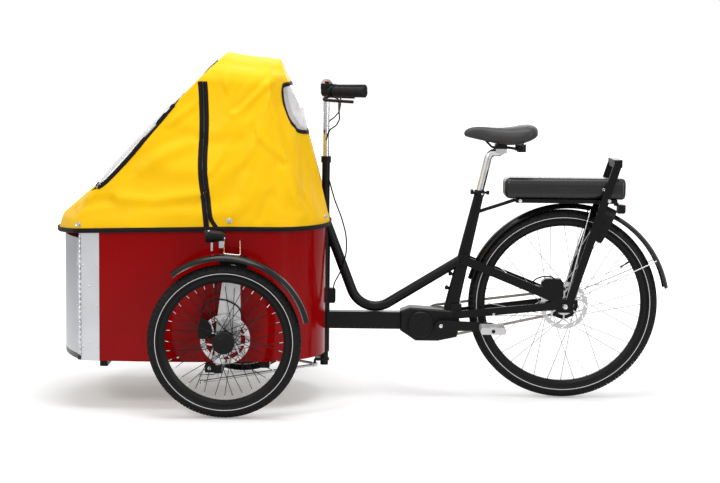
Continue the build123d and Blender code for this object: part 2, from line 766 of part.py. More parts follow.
step_top = Vector(column_x + 6, 0, head_tube_top_z - 14.3)
step_rear = Vector(mid(87), 0, 482.5)
step_corner = Vector(mid(-265), 0, beam_top_z - 24)
for _ in range(8):
    step_down = (step_corner - step_top).normalized()
    step_up = (step_rear - step_corner).normalized()
    step_half_turn = radians(step_down.get_angle(step_up) / 2)
    step_centre = step_corner + (step_up - step_down).normalized() * (step_bend / cos(step_half_turn))
    bend_bottom_z = step_centre.Z - step_bend - frame_tube_radius
    step_corner += Vector(0, 0, beam_top_z + seat_gap - bend_bottom_z)
with BuildPart() as step_tube:
    tube_path([tuple(step_top), tuple(step_corner), tuple(step_rear)], step_bend,
              frame_tube_radius)
    with Locations((column_x, 0, 400)):
        Cylinder(head_tube_radius, 600, mode=Mode.SUBTRACT)
    block((column_x - 60, -30, 0), (column_x, 30, 700), mode=Mode.SUBTRACT)
    add(seat_tube.part, mode=Mode.SUBTRACT)
    block((step_rear.X - 2, -30, 0), (step_rear.X + 90, 30, 700), mode=Mode.SUBTRACT)
save(step_tube.part, "step_tube")

hose_side_y = -frame_tube_radius - hose_radius - 1
with BuildPart() as brake_hose:
    block((column_x + 8, -13, 317), (column_x + 37, 13, 368))
    fillet(brake_hose.edges().filter_by(Axis.Y).group_by(Axis.X)[-1], radius=8)
    tube_path([(column_x + 12, -16, 735), (column_x + 30, -18, 672), (column_x + 54, hose_side_y, 612),
               (column_x + 71, hose_side_y, 553), (column_x + 73, hose_side_y, 493),
               (column_x + 58, hose_side_y, 436), (column_x + 31, -12, 384), (column_x + 28, -6, 350)],
              (190, 200, 190, 160, 110, 60), hose_radius)
    with Locations((column_x, 0, 340)):
        Cylinder(head_tube_radius, 200, mode=Mode.SUBTRACT)
save(brake_hose.part, "brake_hose")

cover_centre = (mid(-67), 252)
with BuildPart() as motor:
    with BuildSketch(Plane.XZ.offset(-motor_half_width)):
        with BuildLine():
            Polyline((mid(-beam_rear_to_crank), 230), (mid(-beam_rear_to_crank), 296), (mid(-103), 309),
                     (mid(45), 299), (mid(67), 262), (mid(56), 209), (mid(-8), 195), (mid(-84), 195),
                     close=True)
        make_face()
    extrude(amount=2 * motor_half_width)
    chamfer(motor.faces().filter_by(Axis.Y).edges(), length=motor_bevel)
    with BuildSketch(Plane.XZ.offset(motor_half_width)):
        with Locations(cover_centre):
            Circle(cover_radius)
    extrude(amount=cover_depth)
    chamfer(motor.faces().sort_by(Axis.Y)[0].edges(), length=3)
    with BuildSketch(Plane.XZ.offset(motor_half_width + cover_depth)):
        with Locations(cover_centre):
            Circle(cover_radius - 9)
            Circle(cover_radius - 11, mode=Mode.SUBTRACT)
        with Locations(Location((*cover_centre, 0), (0, 0, 45))):
            with GridLocations(0, 7, 1, 5):
                Rectangle(36, 2)
    extrude(amount=-2, mode=Mode.SUBTRACT)
    with BuildSketch(Plane.XZ.offset(-200)):
        with Locations((crank_x, crank_z)):
            Circle(crank_axle_radius + running_gap)
    extrude(amount=400, mode=Mode.SUBTRACT)
    add(seat_tube.part, mode=Mode.SUBTRACT)
save(motor.part, "motor_housing")

axle_point = Vector(rear_axle_x, 0, rear_wheel_radius)


def flat_bar(start, end, height, thickness, side_axis=Vector(0, 1, 0)):
    """Flat bar from one point to another, its height square to the side axis."""
    run = Vector(*end) - Vector(*start)
    with BuildSketch(Plane(start, x_dir=run.cross(side_axis), z_dir=run)) as section:
        Rectangle(height, thickness)
    extrude(section.sketch, amount=run.length)


with BuildPart() as rear_stays:
    flat_bar((mid(49), -stay_front_y, 285), (aft(-12), -rear_stay_y, rear_wheel_radius + 1.5), 26, stay_thickness)
    flat_bar((mid(71), -stay_front_y, 475), (aft(-12), -rear_stay_y, rear_wheel_radius + 17.5), 30, stay_thickness)
    block((mid(35), -stay_front_y, 288), (mid(71), 0, 322))
    block((mid(65), -stay_front_y, 458), (mid(97), 0, 490))
    with BuildSketch(Plane.XZ.offset(rear_stay_y - stay_thickness / 2)):
        with Locations((rear_axle_x, rear_wheel_radius)):
            RectangleRounded(60, 46, 8)
    extrude(amount=stay_thickness)
    with BuildSketch(Plane.XZ.offset(rear_stay_y - 10)):
        with Locations((rear_axle_x, rear_wheel_radius)):
            Circle(rear_axle_radius)
    extrude(amount=20, mode=Mode.SUBTRACT)
    mirror(about=Plane.XZ)
    add(seat_tube.part, mode=Mode.SUBTRACT)
    add(motor.part, mode=Mode.SUBTRACT)
save(rear_stays.part, "rear_stays")

rear_hose_y = -rear_stay_y
with BuildPart() as rear_caliper:
    with BuildSketch(Plane(rear_hub, x_dir=(1, 0, 0), z_dir=(0, -1, 0)).offset(rear_stay_y - stay_thickness / 2)):
        with BuildLine():
            Polyline((-76, 28), (-78, 80), (-66, 91), (-14, 91), (-4, 76), (-4, 28), close=True)
        make_face()
    extrude(amount=-32)
    fillet(rear_caliper.edges().filter_by(Axis.Y), radius=5)
    with BuildSketch(Plane((rear_axle_x, rear_disc_y, rear_wheel_radius), z_dir=(0, 1, 0)).offset(-moving_gap)):
        Circle(disc_radius + moving_gap)
    extrude(amount=2 * moving_gap, mode=Mode.SUBTRACT)
    tube_path([(aft(x), rear_hose_y + y, rear_wheel_radius + z)
               for x, y, z in ((-30, 5, 86), (-48, 0, 100), (-80, 0, 99), (-104, 6, 87), (-112, 9, 70))],
              (20, 50, 35), hose_radius)
    add(rear_stays.part, mode=Mode.SUBTRACT)
save(rear_caliper.part, "caliper_rear")

axle_nut_y = rear_stay_y + stay_thickness / 2
axle_half_length = axle_nut_y + axle_nut_height + axle_tip_length
with BuildPart() as rear_axle:
    rod_between((rear_axle_x, -axle_half_length, rear_wheel_radius),
                (rear_axle_x, axle_half_length, rear_wheel_radius), rear_axle_radius)
    for side in (-1, 1):
        rod_between((rear_axle_x, side * axle_nut_y, rear_wheel_radius),
                    (rear_axle_x, side * (axle_nut_y + axle_nut_height), rear_wheel_radius),
                    axle_nut_radius, sides=6)
save(rear_axle.part, "rear_axle")

# ---------------------------------------------------------------- carrier and battery
hoop_low = Vector(aft(18), 0, rear_wheel_radius + 20.5)
hoop_high = Vector(aft(167), 0, over(157))
with BuildPart() as carrier_hoop:
    with BuildSketch(Plane.XZ.offset(rear_stay_y + 4)):
        with BuildLine():
            hoop_path = Line((hoop_low.X, hoop_low.Z), (hoop_high.X, hoop_high.Z))
        trace(line_width=27)
        with Locations((hoop_low.X, hoop_low.Z)):
            Circle(13.5)
    extrude(amount=6)
    mirror(about=Plane.XZ)
    flat_bar((hoop_high.X, -rear_stay_y - 10, hoop_high.Z),
             (hoop_high.X, rear_stay_y + 10, hoop_high.Z), 26, 27, Vector(1, 0, 0))
save(carrier_hoop.part, "carrier_hoop")

lock_out = Vector(cos(radians(lock_angle)), 0, sin(radians(lock_angle)))
lock_plane = Plane((rear_axle_x, 0, rear_wheel_radius), x_dir=(lock_out.X, 0, lock_out.Z),
                   z_dir=(lock_out.Z, 0, -lock_out.X))
lock_crown = rear_wheel_radius + 27
lug_place = Vector(rear_axle_x, 0, rear_wheel_radius) + lock_out * (lock_crown - 55)
lug_share = (lug_place.Z - hoop_low.Z) / (hoop_high.Z - hoop_low.Z)
lug_x = hoop_low.X + (hoop_high.X - hoop_low.X) * lug_share - 4
with BuildPart() as ring_lock:
    with BuildSketch(lock_plane.offset(-lock_thickness / 2)):
        with Locations((lock_crown - 50, 0)):
            RectangleRounded(124, 2 * lock_outer_half, 30)
        with Locations((lock_crown - 70, 0)):
            RectangleRounded(140, 2 * lock_inner_half, 22, mode=Mode.SUBTRACT)
    extrude(amount=lock_thickness)
    for side in (-1, 1):
        low_y, high_y = sorted((side * (lock_outer_half - 2), side * (rear_stay_y + 4)))
        block((lug_x, low_y, lug_place.Z - 12), (lug_place.X, high_y, lug_place.Z + 12))
save(ring_lock.part, "ring_lock")

with BuildPart() as battery:
    with BuildSketch(Plane.YZ.offset(aft(-208))):
        with Locations((0, over(70))):
            RectangleRounded(116, 72, 22)
    extrude(amount=406)
    fillet(battery.edges().group_by(Axis.X)[0], radius=20)
    fillet(battery.edges().group_by(Axis.X)[-1], radius=12)
save(battery.part, "battery")

with BuildPart() as battery_tray:
    block((aft(-169), -52, over(21)), (aft(171), 52, over(33.5)))
    block((aft(103), -rear_stay_y - 4, over(21)), (aft(137), rear_stay_y + 4, over(33.5)))
save(battery_tray.part, "battery_tray")

with BuildPart() as tray_link:
    rod_between((mid(125), 0, 635), (aft(-169), 0, over(27)), 6)
    with BuildSketch(seat_plane):
        Rectangle(2 * post_radius + 1, 2 * post_radius + 1)
    extrude(amount=seat_length, mode=Mode.SUBTRACT)
    add(seat_tube.part, mode=Mode.SUBTRACT)
    add(battery_tray.part, mode=Mode.SUBTRACT)
save(tray_link.part, "tray_link")

# ---------------------------------------------------------------- seat
post_elbow = seat_plane.offset(seat_length + 148).origin
rail_low_z = 849.0
cradle_station = 196.0
with BuildPart() as seat_post:
    tube_path([tuple(seat_plane.offset(seat_length * 0.62).origin), tuple(post_elbow),
               (mid(cradle_station), 0, post_elbow.Z + 2)], post_radius + 10, post_radius)
    block((mid(130), -30, rail_low_z), (mid(240), 30, rail_low_z + 40), mode=Mode.SUBTRACT)
    add(seat_tube.part, mode=Mode.SUBTRACT)
    rod_between((mid(cradle_station), -saddle_rail_y - 8, 838), (mid(cradle_station), saddle_rail_y + 8, 838), 10)
    block((mid(cradle_station) - 19, -saddle_rail_y - 7, 834), (mid(cradle_station) + 18, saddle_rail_y + 7, rail_low_z))
save(seat_post.part, "seat_post")

with BuildPart() as seat_clamp:
    with BuildSketch(seat_plane.offset(seat_length)):
        Circle(post_radius + 4.5)
    extrude(amount=seat_clamp_height)
    block((mid(116), -post_radius - 13, 694), (mid(142), -post_radius - 2, 708))
    rod_between((mid(104), -post_radius - 8, 701), (mid(158), -post_radius - 8, 701), 4)
    rod_between((mid(148), -post_radius - 8, 701), (mid(158), -post_radius - 8, 701), 7)
    block((mid(96), -post_radius - 15, 695), (mid(105), post_radius, 710))
    with BuildSketch(seat_plane.offset(seat_length * 0.62)):
        Circle(post_radius + running_gap)
    extrude(amount=seat_length, mode=Mode.SUBTRACT)
    add(seat_tube.part, mode=Mode.SUBTRACT)
save(seat_clamp.part, "seat_clamp")

saddle_sections = [
    (71, 888, 904, 11, 7), (88, 882, 919, 20, 13), (128, 878, 925, 26, 16), (172, 868, 922, 42, 20),
    (214, 861, 929, 70, 22), (252, 861, 935, 88, 24), (290, 872, 937, 84, 22), (319, 893, 912, 50, 9),
]
with BuildPart() as saddle:
    for station, low, high, half, corner in saddle_sections:
        with BuildSketch(Plane.YZ.offset(mid(station))):
            with Locations((0, (low + high) / 2)):
                RectangleRounded(2 * half, high - low, corner * 0.98)
    loft()
save(saddle.part, "saddle")

rail_z = rail_low_z + saddle_rail_radius + seat_gap
with BuildPart() as saddle_rails:
    for side in (-1, 1):
        rail_y = side * saddle_rail_y
        tube_path([(mid(132), side * 9, 888), (mid(166), rail_y, rail_z), (mid(222), rail_y, rail_z),
                   (mid(262), side * 40, 846)], (16, 60), saddle_rail_radius)
        rod_between((mid(262), side * 40, 840), (mid(262), side * 40, 880), 15)
    block((mid(cradle_station) - 20, -saddle_rail_y - 7, rail_low_z), (mid(cradle_station) + 19, saddle_rail_y + 7, 864))
    add(saddle.part, mode=Mode.SUBTRACT)
save(saddle_rails.part, "saddle_rails")

# ---------------------------------------------------------------- crank, pedals, chain
crank_arm_y = 62.0
with BuildPart() as crank:
    rod_between((crank_x, -crank_arm_y - 10, crank_z), (crank_x, crank_arm_y + 10, crank_z),
                crank_axle_radius)
    for side, direction in ((-1, 1), (1, -1)):
        low_y = min(side * crank_arm_y, side * (crank_arm_y + 13))
        with BuildSketch(Plane.XZ.offset(-low_y - 13)):
            with Locations((crank_x, crank_z)):
                Circle(18)
            with Locations((crank_x + direction * crank_length, crank_z)):
                Circle(12.5)
            make_hull()
        extrude(amount=13)
    with BuildSketch(Plane.XZ.offset(-chain_y - 1.5)):
        with Locations((crank_x, crank_z)):
            Circle(chainring_radius - chain_depth / 2 - 1)
    extrude(amount=3)
    for side, direction in ((-1, 1), (1, -1)):
        pedal_x = crank_x + direction * crank_length
        rod_between((pedal_x, side * (crank_arm_y + 12), crank_z),
                    (pedal_x, side * (crank_arm_y + 20 + pedal_length), crank_z), 6)
save(crank.part, "crank")

for name, side, direction in (("left", -1, 1), ("right", 1, -1)):
    pedal_x = crank_x + direction * crank_length
    inner_y = crank_arm_y + 13 + moving_gap
    with BuildPart() as pedal:
        low_y, high_y = sorted((side * inner_y, side * (inner_y + pedal_length)))
        with BuildSketch(Plane.XZ.offset(-high_y)):
            with Locations((pedal_x, crank_z)):
                RectangleRounded(pedal_width, pedal_height, 7)
        extrude(amount=pedal_length)
        for slot_x in (pedal_x - 23, pedal_x + 23):
            block((slot_x - 12, low_y + 12, crank_z - pedal_height),
                  (slot_x + 12, high_y - 12, crank_z + pedal_height), mode=Mode.SUBTRACT)
        with BuildSketch(Plane.XZ.offset(-300)):
            with Locations((pedal_x, crank_z)):
                Circle(6 + running_gap)
        extrude(amount=600, mode=Mode.SUBTRACT)
    save(pedal.part, f"pedal_{name}")

chain_run = Vector(rear_axle_x - crank_x, rear_wheel_radius - crank_z)
chain_angle = degrees(atan2(chain_run.Y, chain_run.X))
with BuildPart() as chain:
    with BuildSketch(Plane.XZ.offset(-chain_y - chain_width / 2)):
        for grow, mode in ((chain_depth / 2, Mode.ADD), (-chain_depth / 2, Mode.SUBTRACT)):
            with BuildSketch(mode=mode):
                with Locations((crank_x, crank_z)):
                    Circle(chainring_radius + grow)
                with Locations((rear_axle_x, rear_wheel_radius)):
                    Circle(sprocket_radius + grow)
                make_hull()
    extrude(amount=chain_width)
save(chain.part, "chain")

# ---------------------------------------------------------------- fenders and lamps
def fender_section(crown_radius, lip_radius, half_width):
    """Arched strip across the wheel, to be turned about the wheel's axle."""
    with BuildLine() as outline:
        ThreePointArc((lip_radius, -half_width), (crown_radius, 0), (lip_radius, half_width))
        Line((lip_radius, half_width), (lip_radius, half_width - fender_wall))
        ThreePointArc((lip_radius, half_width - fender_wall), (crown_radius - fender_wall, 0),
                      (lip_radius, -half_width + fender_wall))
        Line((lip_radius, -half_width + fender_wall), (lip_radius, -half_width))
    make_face(outline.edges())


fender_crown = front_wheel_radius + fender_gap + fender_rise
with BuildPart() as front_fenders:
    for hub_y in (-half_track, half_track):
        with BuildSketch(Plane((front_axle_x, hub_y, front_wheel_radius),
                               x_dir=(cos(radians(fender_front_angle)), 0, sin(radians(fender_front_angle))),
                               z_dir=(-sin(radians(fender_front_angle)), 0, cos(radians(fender_front_angle))))):
            fender_section(fender_crown, fender_crown - 18, 27)
        revolve(axis=Axis((front_axle_x, hub_y, front_wheel_radius), (0, 1, 0)),
                revolution_arc=fender_front_angle - fender_rear_angle)
save(front_fenders.part, "front_fenders")

with BuildPart() as fender_stays:
    tube_path([(at(44), -box_half_width + 14, 561), (at(44), -kingpin_offset_y, 561),
               (at(50), -half_track, fender_crown + front_wheel_radius - 2.6),
               (at(-2), -half_track, fender_crown + front_wheel_radius + 1.9),
               (at(-6), -kingpin_offset_y, 561), (at(-6), -box_half_width + 14, 561)], 7, 2.2)
    add(box_wall_panel.part, mode=Mode.SUBTRACT)
    block((at(-40), -box_half_width + 11, 500), (at(80), 0, 600), mode=Mode.SUBTRACT)
    mirror(about=Plane.XZ)
    add(front_fenders.part, mode=Mode.SUBTRACT)
save(fender_stays.part, "fender_stays")

with BuildPart() as head_lamps:
    with BuildSketch(Plane((at(-63), -364, 578), x_dir=(1, 0, 0), z_dir=(0, -1, 0))):
        with BuildLine():
            Polyline((0, 0), (0, 20), (12, 21), (50, 15), (62, 8), (62, 0), close=True)
        make_face()
    revolve(axis=Axis((at(-63), -364, 578), (1, 0, 0)))
    block((at(-24), -356, 556), (at(-9), -box_half_width - 4, 571))
    add(fender_stays.part, mode=Mode.SUBTRACT)
    add(box_wall_panel.part, mode=Mode.SUBTRACT)
    mirror(about=Plane.XZ)
save(head_lamps.part, "head_lamps")

rear_fender_centre = (aft(14), 0, rear_wheel_radius - 7.5)
rear_fender_radius = rear_wheel_radius + 25.5
with BuildPart() as rear_fender:
    with BuildSketch(Plane(rear_fender_centre,
                           x_dir=(cos(radians(165)), 0, sin(radians(165))),
                           z_dir=(-sin(radians(165)), 0, cos(radians(165))))):
        fender_section(rear_fender_radius, rear_fender_radius - 16, 28)
    revolve(axis=Axis(rear_fender_centre, (0, 1, 0)), revolution_arc=165 - 11)
save(rear_fender.part, "rear_fender")

with BuildPart() as rear_fender_stays:
    for foot, angle in (((aft(6), rear_wheel_radius + 20), 78), ((aft(12), rear_wheel_radius + 12), 28)):
        tip = Vector(rear_fender_centre[0] + (rear_fender_radius - 12) * cos(radians(angle)), -27,
                     rear_fender_centre[2] + (rear_fender_radius - 12) * sin(radians(angle)))
        rod_between((foot[0], -rear_stay_y + 4, foot[1]), tuple(tip), 2.2)
    mirror(about=Plane.XZ)
    add(rear_fender.part, mode=Mode.SUBTRACT)
    add(rear_stays.part, mode=Mode.SUBTRACT)
save(rear_fender_stays.part, "rear_fender_stays")

with BuildPart() as tail_lamp:
    with BuildSketch(Plane.YZ.offset(aft(179))):
        with Locations((0, rear_wheel_top_z)):
            RectangleRounded(52, 30, 9)
    extrude(amount=24)
    fillet(tail_lamp.edges().group_by(Axis.X)[-1], radius=6)
    block((aft(167), -12, over(11)), (aft(181), 12, over(21)))
save(tail_lamp.part, "tail_lamp")


# ---------------------------------------------------------------- hood
def hood_plan(front, corner, shoulder, rear, corner_half, side_half, shoulder_half, end_half,
              inset):
    """Closed outline of the hood at one height, from stations and half widths."""
    nose = (at(front) + inset, 0)
    tail_x = at(rear) - inset
    left_corner = (at(corner) + inset / 2, -corner_half + inset)
    left_middle = ((at(corner) + at(shoulder)) / 2, -side_half + inset)
    left_shoulder = (at(shoulder), -shoulder_half + inset)
    left_side = ThreePointArc(left_corner, left_middle, left_shoulder)
    TangentArc(left_side @ 1, (tail_x, -end_half), tangent=left_side % 1)
    Line((tail_x, -end_half), (tail_x, end_half))
    mirror(about=Plane.XZ)
    ThreePointArc(left_corner, nose, (left_corner[0], -left_corner[1]))


hem_grow = strip_thickness + hood_overhang
hood_levels = [
    (hood_hem_z, box_front_station - door_bulge - hem_grow, box_front_station - hem_grow,
     box_shoulder_station, box_rear_station + hem_grow, box_front_half_width + hem_grow,
     box_half_width + hem_grow, box_shoulder_half_width + hem_grow, box_rear_half_width),
    (632, -556, -472, box_shoulder_station, 320, 298, 313, 292, 54),
    (852, -332, -300, 120, 280, 264, 278, 252, 68),
    (1030, -158, -136, 122, 212, 220, 235, 212, 88),
    (1076, -106, -94, 122, 188, 203, 219, 196, 94),
    (1108, -62, -48, 120, 172, 172, 184, 162, 88),
    (1134, -34, -26, 116, 160, 118, 128, 112, 62),
    (hood_peak_z - 10, -18, -12, 110, 152, 70, 84, 66, 40),
]


def hood_body(inset):
    """Tent of straight-sided levels, or the smaller space inside it."""
    levels = []
    for z, *outline in hood_levels:
        drop = inset if z > hood_hem_z else (1 if inset else 0)
        with BuildSketch(Plane.XY.offset(z - drop)) as level:
            with BuildLine() as plan:
                hood_plan(*outline, inset)
            make_face(plan.edges())
        levels.append(level.sketch.face())
    loft(levels, ruled=True)


with BuildPart() as hood_inside:
    hood_body(hood_wall)

def window_prism(outline, rear, grow):
    """Block along X, this outline wide, that cuts a window out of the hood's front or rear."""
    start = at(110) if rear else at(40)
    reach = 400 if rear else -800
    with BuildSketch(Plane.YZ.offset(start)) as opening:
        with BuildLine() as half:
            Polyline(*outline)
        with BuildLine() as whole:
            add(half.line)
            mirror(half.line, about=Plane.YZ)
        make_face(whole.edges())
        fillet(opening.vertices(), radius=30)
        if grow:
            offset(amount=grow, kind=Kind.INTERSECTION)
    extrude(opening.sketch, amount=reach)


front_window = [(0, 716), (258, 716), (210, 1018), (0, 1018)]
rear_window = [(0, 906), (168, 906), (136, 1056), (0, 1056)]
with BuildPart() as hood_shell:
    hood_body(0.0)
    add(hood_inside.part, mode=Mode.SUBTRACT)

with BuildPart() as front_opening:
    window_prism(front_window, False, 0)
with BuildPart() as rear_opening:
    window_prism(rear_window, True, 0)
with BuildPart() as front_filling:
    window_prism(front_window, False, -seat_gap)
with BuildPart() as rear_filling:
    window_prism(rear_window, True, -seat_gap)

slot_half_width = head_tube_radius + moving_gap + 1
slot_top_z = 806.0
with BuildPart() as hood:
    add(hood_shell.part)
    add(front_opening.part, mode=Mode.SUBTRACT)
    add(rear_opening.part, mode=Mode.SUBTRACT)
    block((column_x - head_tube_radius - moving_gap - 4, -slot_half_width, hood_hem_z - 1),
          (column_x + 60, slot_half_width, slot_top_z), mode=Mode.SUBTRACT)
save(hood.part, "hood")

with BuildPart() as hood_windows:
    add(front_filling.part)
    add(rear_filling.part)
    add(hood_shell.part, mode=Mode.INTERSECT)
save(hood_windows.part, "hood_windows")
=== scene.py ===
# %% [markdown]
# # Dressing an electric cargo tricycle
#
# This notebook takes a cargo bike that is already built to size as solid parts and gives it
# its looks: paint, metal, rubber, cloth, thread and glass-clear vinyl. The solids come from
# a frame file, so nothing here has to be fitted. A piece goes where the frame says.
#
# Everything is in metres. The bike faces -X, the rider's left is -Y and +Z is up.

import json
from math import atan2, cos, degrees, pi, radians, sin, sqrt

import bmesh
import bpy
from mathutils import Matrix, Vector
from mathutils.bvhtree import BVHTree
from mathutils.geometry import barycentric_transform


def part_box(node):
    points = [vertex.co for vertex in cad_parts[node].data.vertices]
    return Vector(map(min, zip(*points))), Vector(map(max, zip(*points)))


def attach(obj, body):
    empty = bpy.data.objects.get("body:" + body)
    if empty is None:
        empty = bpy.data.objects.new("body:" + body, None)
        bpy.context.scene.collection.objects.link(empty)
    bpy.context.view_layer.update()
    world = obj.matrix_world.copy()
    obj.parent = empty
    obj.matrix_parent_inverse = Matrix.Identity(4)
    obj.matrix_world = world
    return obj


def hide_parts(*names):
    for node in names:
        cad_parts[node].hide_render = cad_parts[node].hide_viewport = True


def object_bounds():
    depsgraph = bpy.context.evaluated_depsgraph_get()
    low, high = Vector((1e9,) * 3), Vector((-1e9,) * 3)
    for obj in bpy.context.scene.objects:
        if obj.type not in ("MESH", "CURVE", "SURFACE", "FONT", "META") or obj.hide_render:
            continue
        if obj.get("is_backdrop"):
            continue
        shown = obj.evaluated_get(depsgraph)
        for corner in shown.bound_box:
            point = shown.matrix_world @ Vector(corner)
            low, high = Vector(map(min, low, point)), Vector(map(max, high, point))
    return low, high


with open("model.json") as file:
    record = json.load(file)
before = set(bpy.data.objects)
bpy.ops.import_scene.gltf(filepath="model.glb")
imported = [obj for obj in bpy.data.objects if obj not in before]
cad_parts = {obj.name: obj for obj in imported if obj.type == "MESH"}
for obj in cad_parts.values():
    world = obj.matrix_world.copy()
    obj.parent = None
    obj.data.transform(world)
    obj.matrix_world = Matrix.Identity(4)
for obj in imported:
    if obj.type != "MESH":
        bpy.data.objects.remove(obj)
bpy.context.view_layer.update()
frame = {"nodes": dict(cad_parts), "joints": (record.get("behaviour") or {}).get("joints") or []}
nodes = frame["nodes"]
bpy.context.scene.render.film_transparent = False
print("pieces in the frame:", len(nodes))

# %% [markdown]
# ## Places that other cells use
#
# Hubs, the crank and the steering axis come from the joints, and other places come from the
# boxes of the nodes, so that a changed solid moves what is made on it.

# %% Read the places from the frame
joints = {joint["name"]: joint for joint in frame["joints"]}


def joint_place(name):
    return Vector(joints[name]["pos_m"])


front_hub = joint_place("front_wheel_left_spin")
rear_hub = joint_place("rear_wheel_spin")
crank_axle = joint_place("crank_spin")
column = joint_place("steering_turn")
front_axle_x = front_hub.x
both_sides = ((-1, "left"), (1, "right"))
print("front hub", tuple(round(v, 3) for v in front_hub),
      "rear hub", tuple(round(v, 3) for v in rear_hub))

# %% [markdown]
# ## Helpers for objects and shader nodes
#
# These short functions take up what the cells below would repeat. An input of a node is
# either linked to a socket or set to a value, so one function can do both.


# %% Objects, nodes and materials
def new_object(name, data):
    """Object with its data, linked to the scene."""
    obj = bpy.data.objects.new(name, data)
    bpy.context.scene.collection.objects.link(obj)
    return obj


def feed(node, values):
    """Links or sets a node's inputs, by label or number."""
    for label, value in values.items():
        if isinstance(value, bpy.types.NodeSocket):
            node.id_data.links.new(value, node.inputs[label])
        else:
            node.inputs[label].default_value = value
    return node


def add_node(tree, kind, values=None, **settings):
    """New shader node with its settings and inputs."""
    node = tree.nodes.new("ShaderNode" + kind)
    for label, value in settings.items():
        setattr(node, label, value)
    return feed(node, values or {})


def math_node(tree, operation, *values, clamp=False):
    """Output of a math node with its inputs linked or set."""
    return add_node(tree, "Math", dict(enumerate(values)), operation=operation,
                    use_clamp=clamp).outputs[0]


def object_place(tree):
    """Coordinates of the object itself, in metres."""
    return add_node(tree, "TexCoord").outputs["Object"]


def normal_axes(tree):
    """Outputs X, Y and Z of the surface's normal."""
    facing = add_node(tree, "NewGeometry")
    return add_node(tree, "SeparateXYZ", {0: facing.outputs["Normal"]}).outputs


def noise_of(tree, place, scale, detail):
    """Factor of a noise texture."""
    return add_node(tree, "TexNoise", {"Vector": place, "Scale": scale,
                                       "Detail": detail}).outputs["Fac"]


def new_material(name):
    """Material with its node tree and its Principled shader."""
    material = bpy.data.materials.new(name)
    material.use_nodes = True
    return material, material.node_tree, material.node_tree.nodes["Principled BSDF"]


def add_bump(tree, height, strength, distance):
    """Feeds a height into the normal of the tree's shader."""
    bumps = add_node(tree, "Bump", {"Strength": strength, "Distance": distance,
                                    "Height": height})
    feed(tree.nodes["Principled BSDF"], {"Normal": bumps.outputs["Normal"]})


def clamped(value):
    """Value kept between zero and one."""
    return max(0.0, min(1.0, value))


full_white = (1.0, 1.0, 1.0, 1.0)
print("node helpers ready")

# %% [markdown]
# ## Camera
#
# The bike stands square to the lens, a little below eye height. A long lens from almost six
# metres keeps the wheels round. The camera is turned by three small angles: down, sideways
# and a slight roll. Multiplying three turns is easier to read than one Euler triple.

# %% Place the camera
camera_data = bpy.data.cameras.new("camera")
camera_data.lens = 86.1
camera_data.sensor_width = 36.0
camera_data.clip_end = 100.0
camera = new_object("camera", camera_data)
camera_place = (-0.0118, -5.8155, 1.1546)
look_sideways, look_down, roll = 0.0023, 0.1074, 0.0118
turn = (Matrix.Rotation(look_sideways, 4, "Z") @ Matrix.Rotation(pi / 2 - look_down, 4, "X")
        @ Matrix.Rotation(roll, 4, "Z"))
camera.matrix_world = Matrix.Translation(camera_place) @ turn
bpy.context.scene.camera = camera
print("camera", round(degrees(look_down), 2), "degrees down, lens", camera_data.lens)

# %% [markdown]
# ## Studio
#
# A product studio has a white sweep, one big soft lamp above, one on each side and a strip
# that draws a long highlight on paint. The lamps are wide, because a glossy box shows
# the shape of whatever lights it. The world is a soft grey for the object and white
# for the camera, so the picture's background stays clean without more light on the paint.


# %% Light the studio
def area_lamp(name, place, target, width, height, power):
    """Soft rectangular lamp aimed at a point."""
    data = bpy.data.lights.new(name, "AREA")
    data.shape = "RECTANGLE"
    data.size, data.size_y = width, height
    data.energy = power
    aim = (Vector(place) - Vector(target)).to_track_quat("Z", "Y")
    new_object(name, data).matrix_world = Matrix.Translation(place) @ aim.to_matrix().to_4x4()


area_lamp("top_soft", (-0.2, -0.3, 3.4), (0.0, 0.0, 0.4), 2.6, 1.8, 66)
area_lamp("key_left", (-2.5, -3.1, 2.7), (-0.3, 0.0, 0.7), 1.0, 1.0, 46)
area_lamp("right_strip", (2.4, -2.4, 1.5), (0.0, 0.0, 0.5), 0.24, 2.4, 24)
area_lamp("rear_soft", (0.4, 3.2, 2.0), (0.0, 0.0, 0.6), 3.0, 1.8, 34)

light_on_object, light_in_view = 0.42, 1.0
world = bpy.data.worlds.new("studio")
bpy.context.scene.world = world
world.use_nodes = True
tree = world.node_tree
tree.nodes.clear()
soft, white = (add_node(tree, "Background", {"Color": full_white, "Strength": power}).outputs[0]
               for power in (light_on_object, light_in_view))
path = add_node(tree, "LightPath").outputs
through = math_node(tree, "MAXIMUM", path["Is Transmission Ray"], path["Is Glossy Ray"])
seen = math_node(tree, "MAXIMUM", path["Is Camera Ray"], through)
choose = add_node(tree, "MixShader", {"Fac": seen, 1: soft, 2: white})
add_node(tree, "OutputWorld", {"Surface": choose.outputs[0]})
bpy.context.scene.view_settings.view_transform = "Standard"

# %% [markdown]
# ## Floor
#
# The floor is a wide sheet of paper. A plain white surface would turn grey away from the
# lamps, so its colour is mixed with a glow that only the camera sees and that grows with the
# distance. Near the bike it is weak, so that the shadows under the tyres stay.

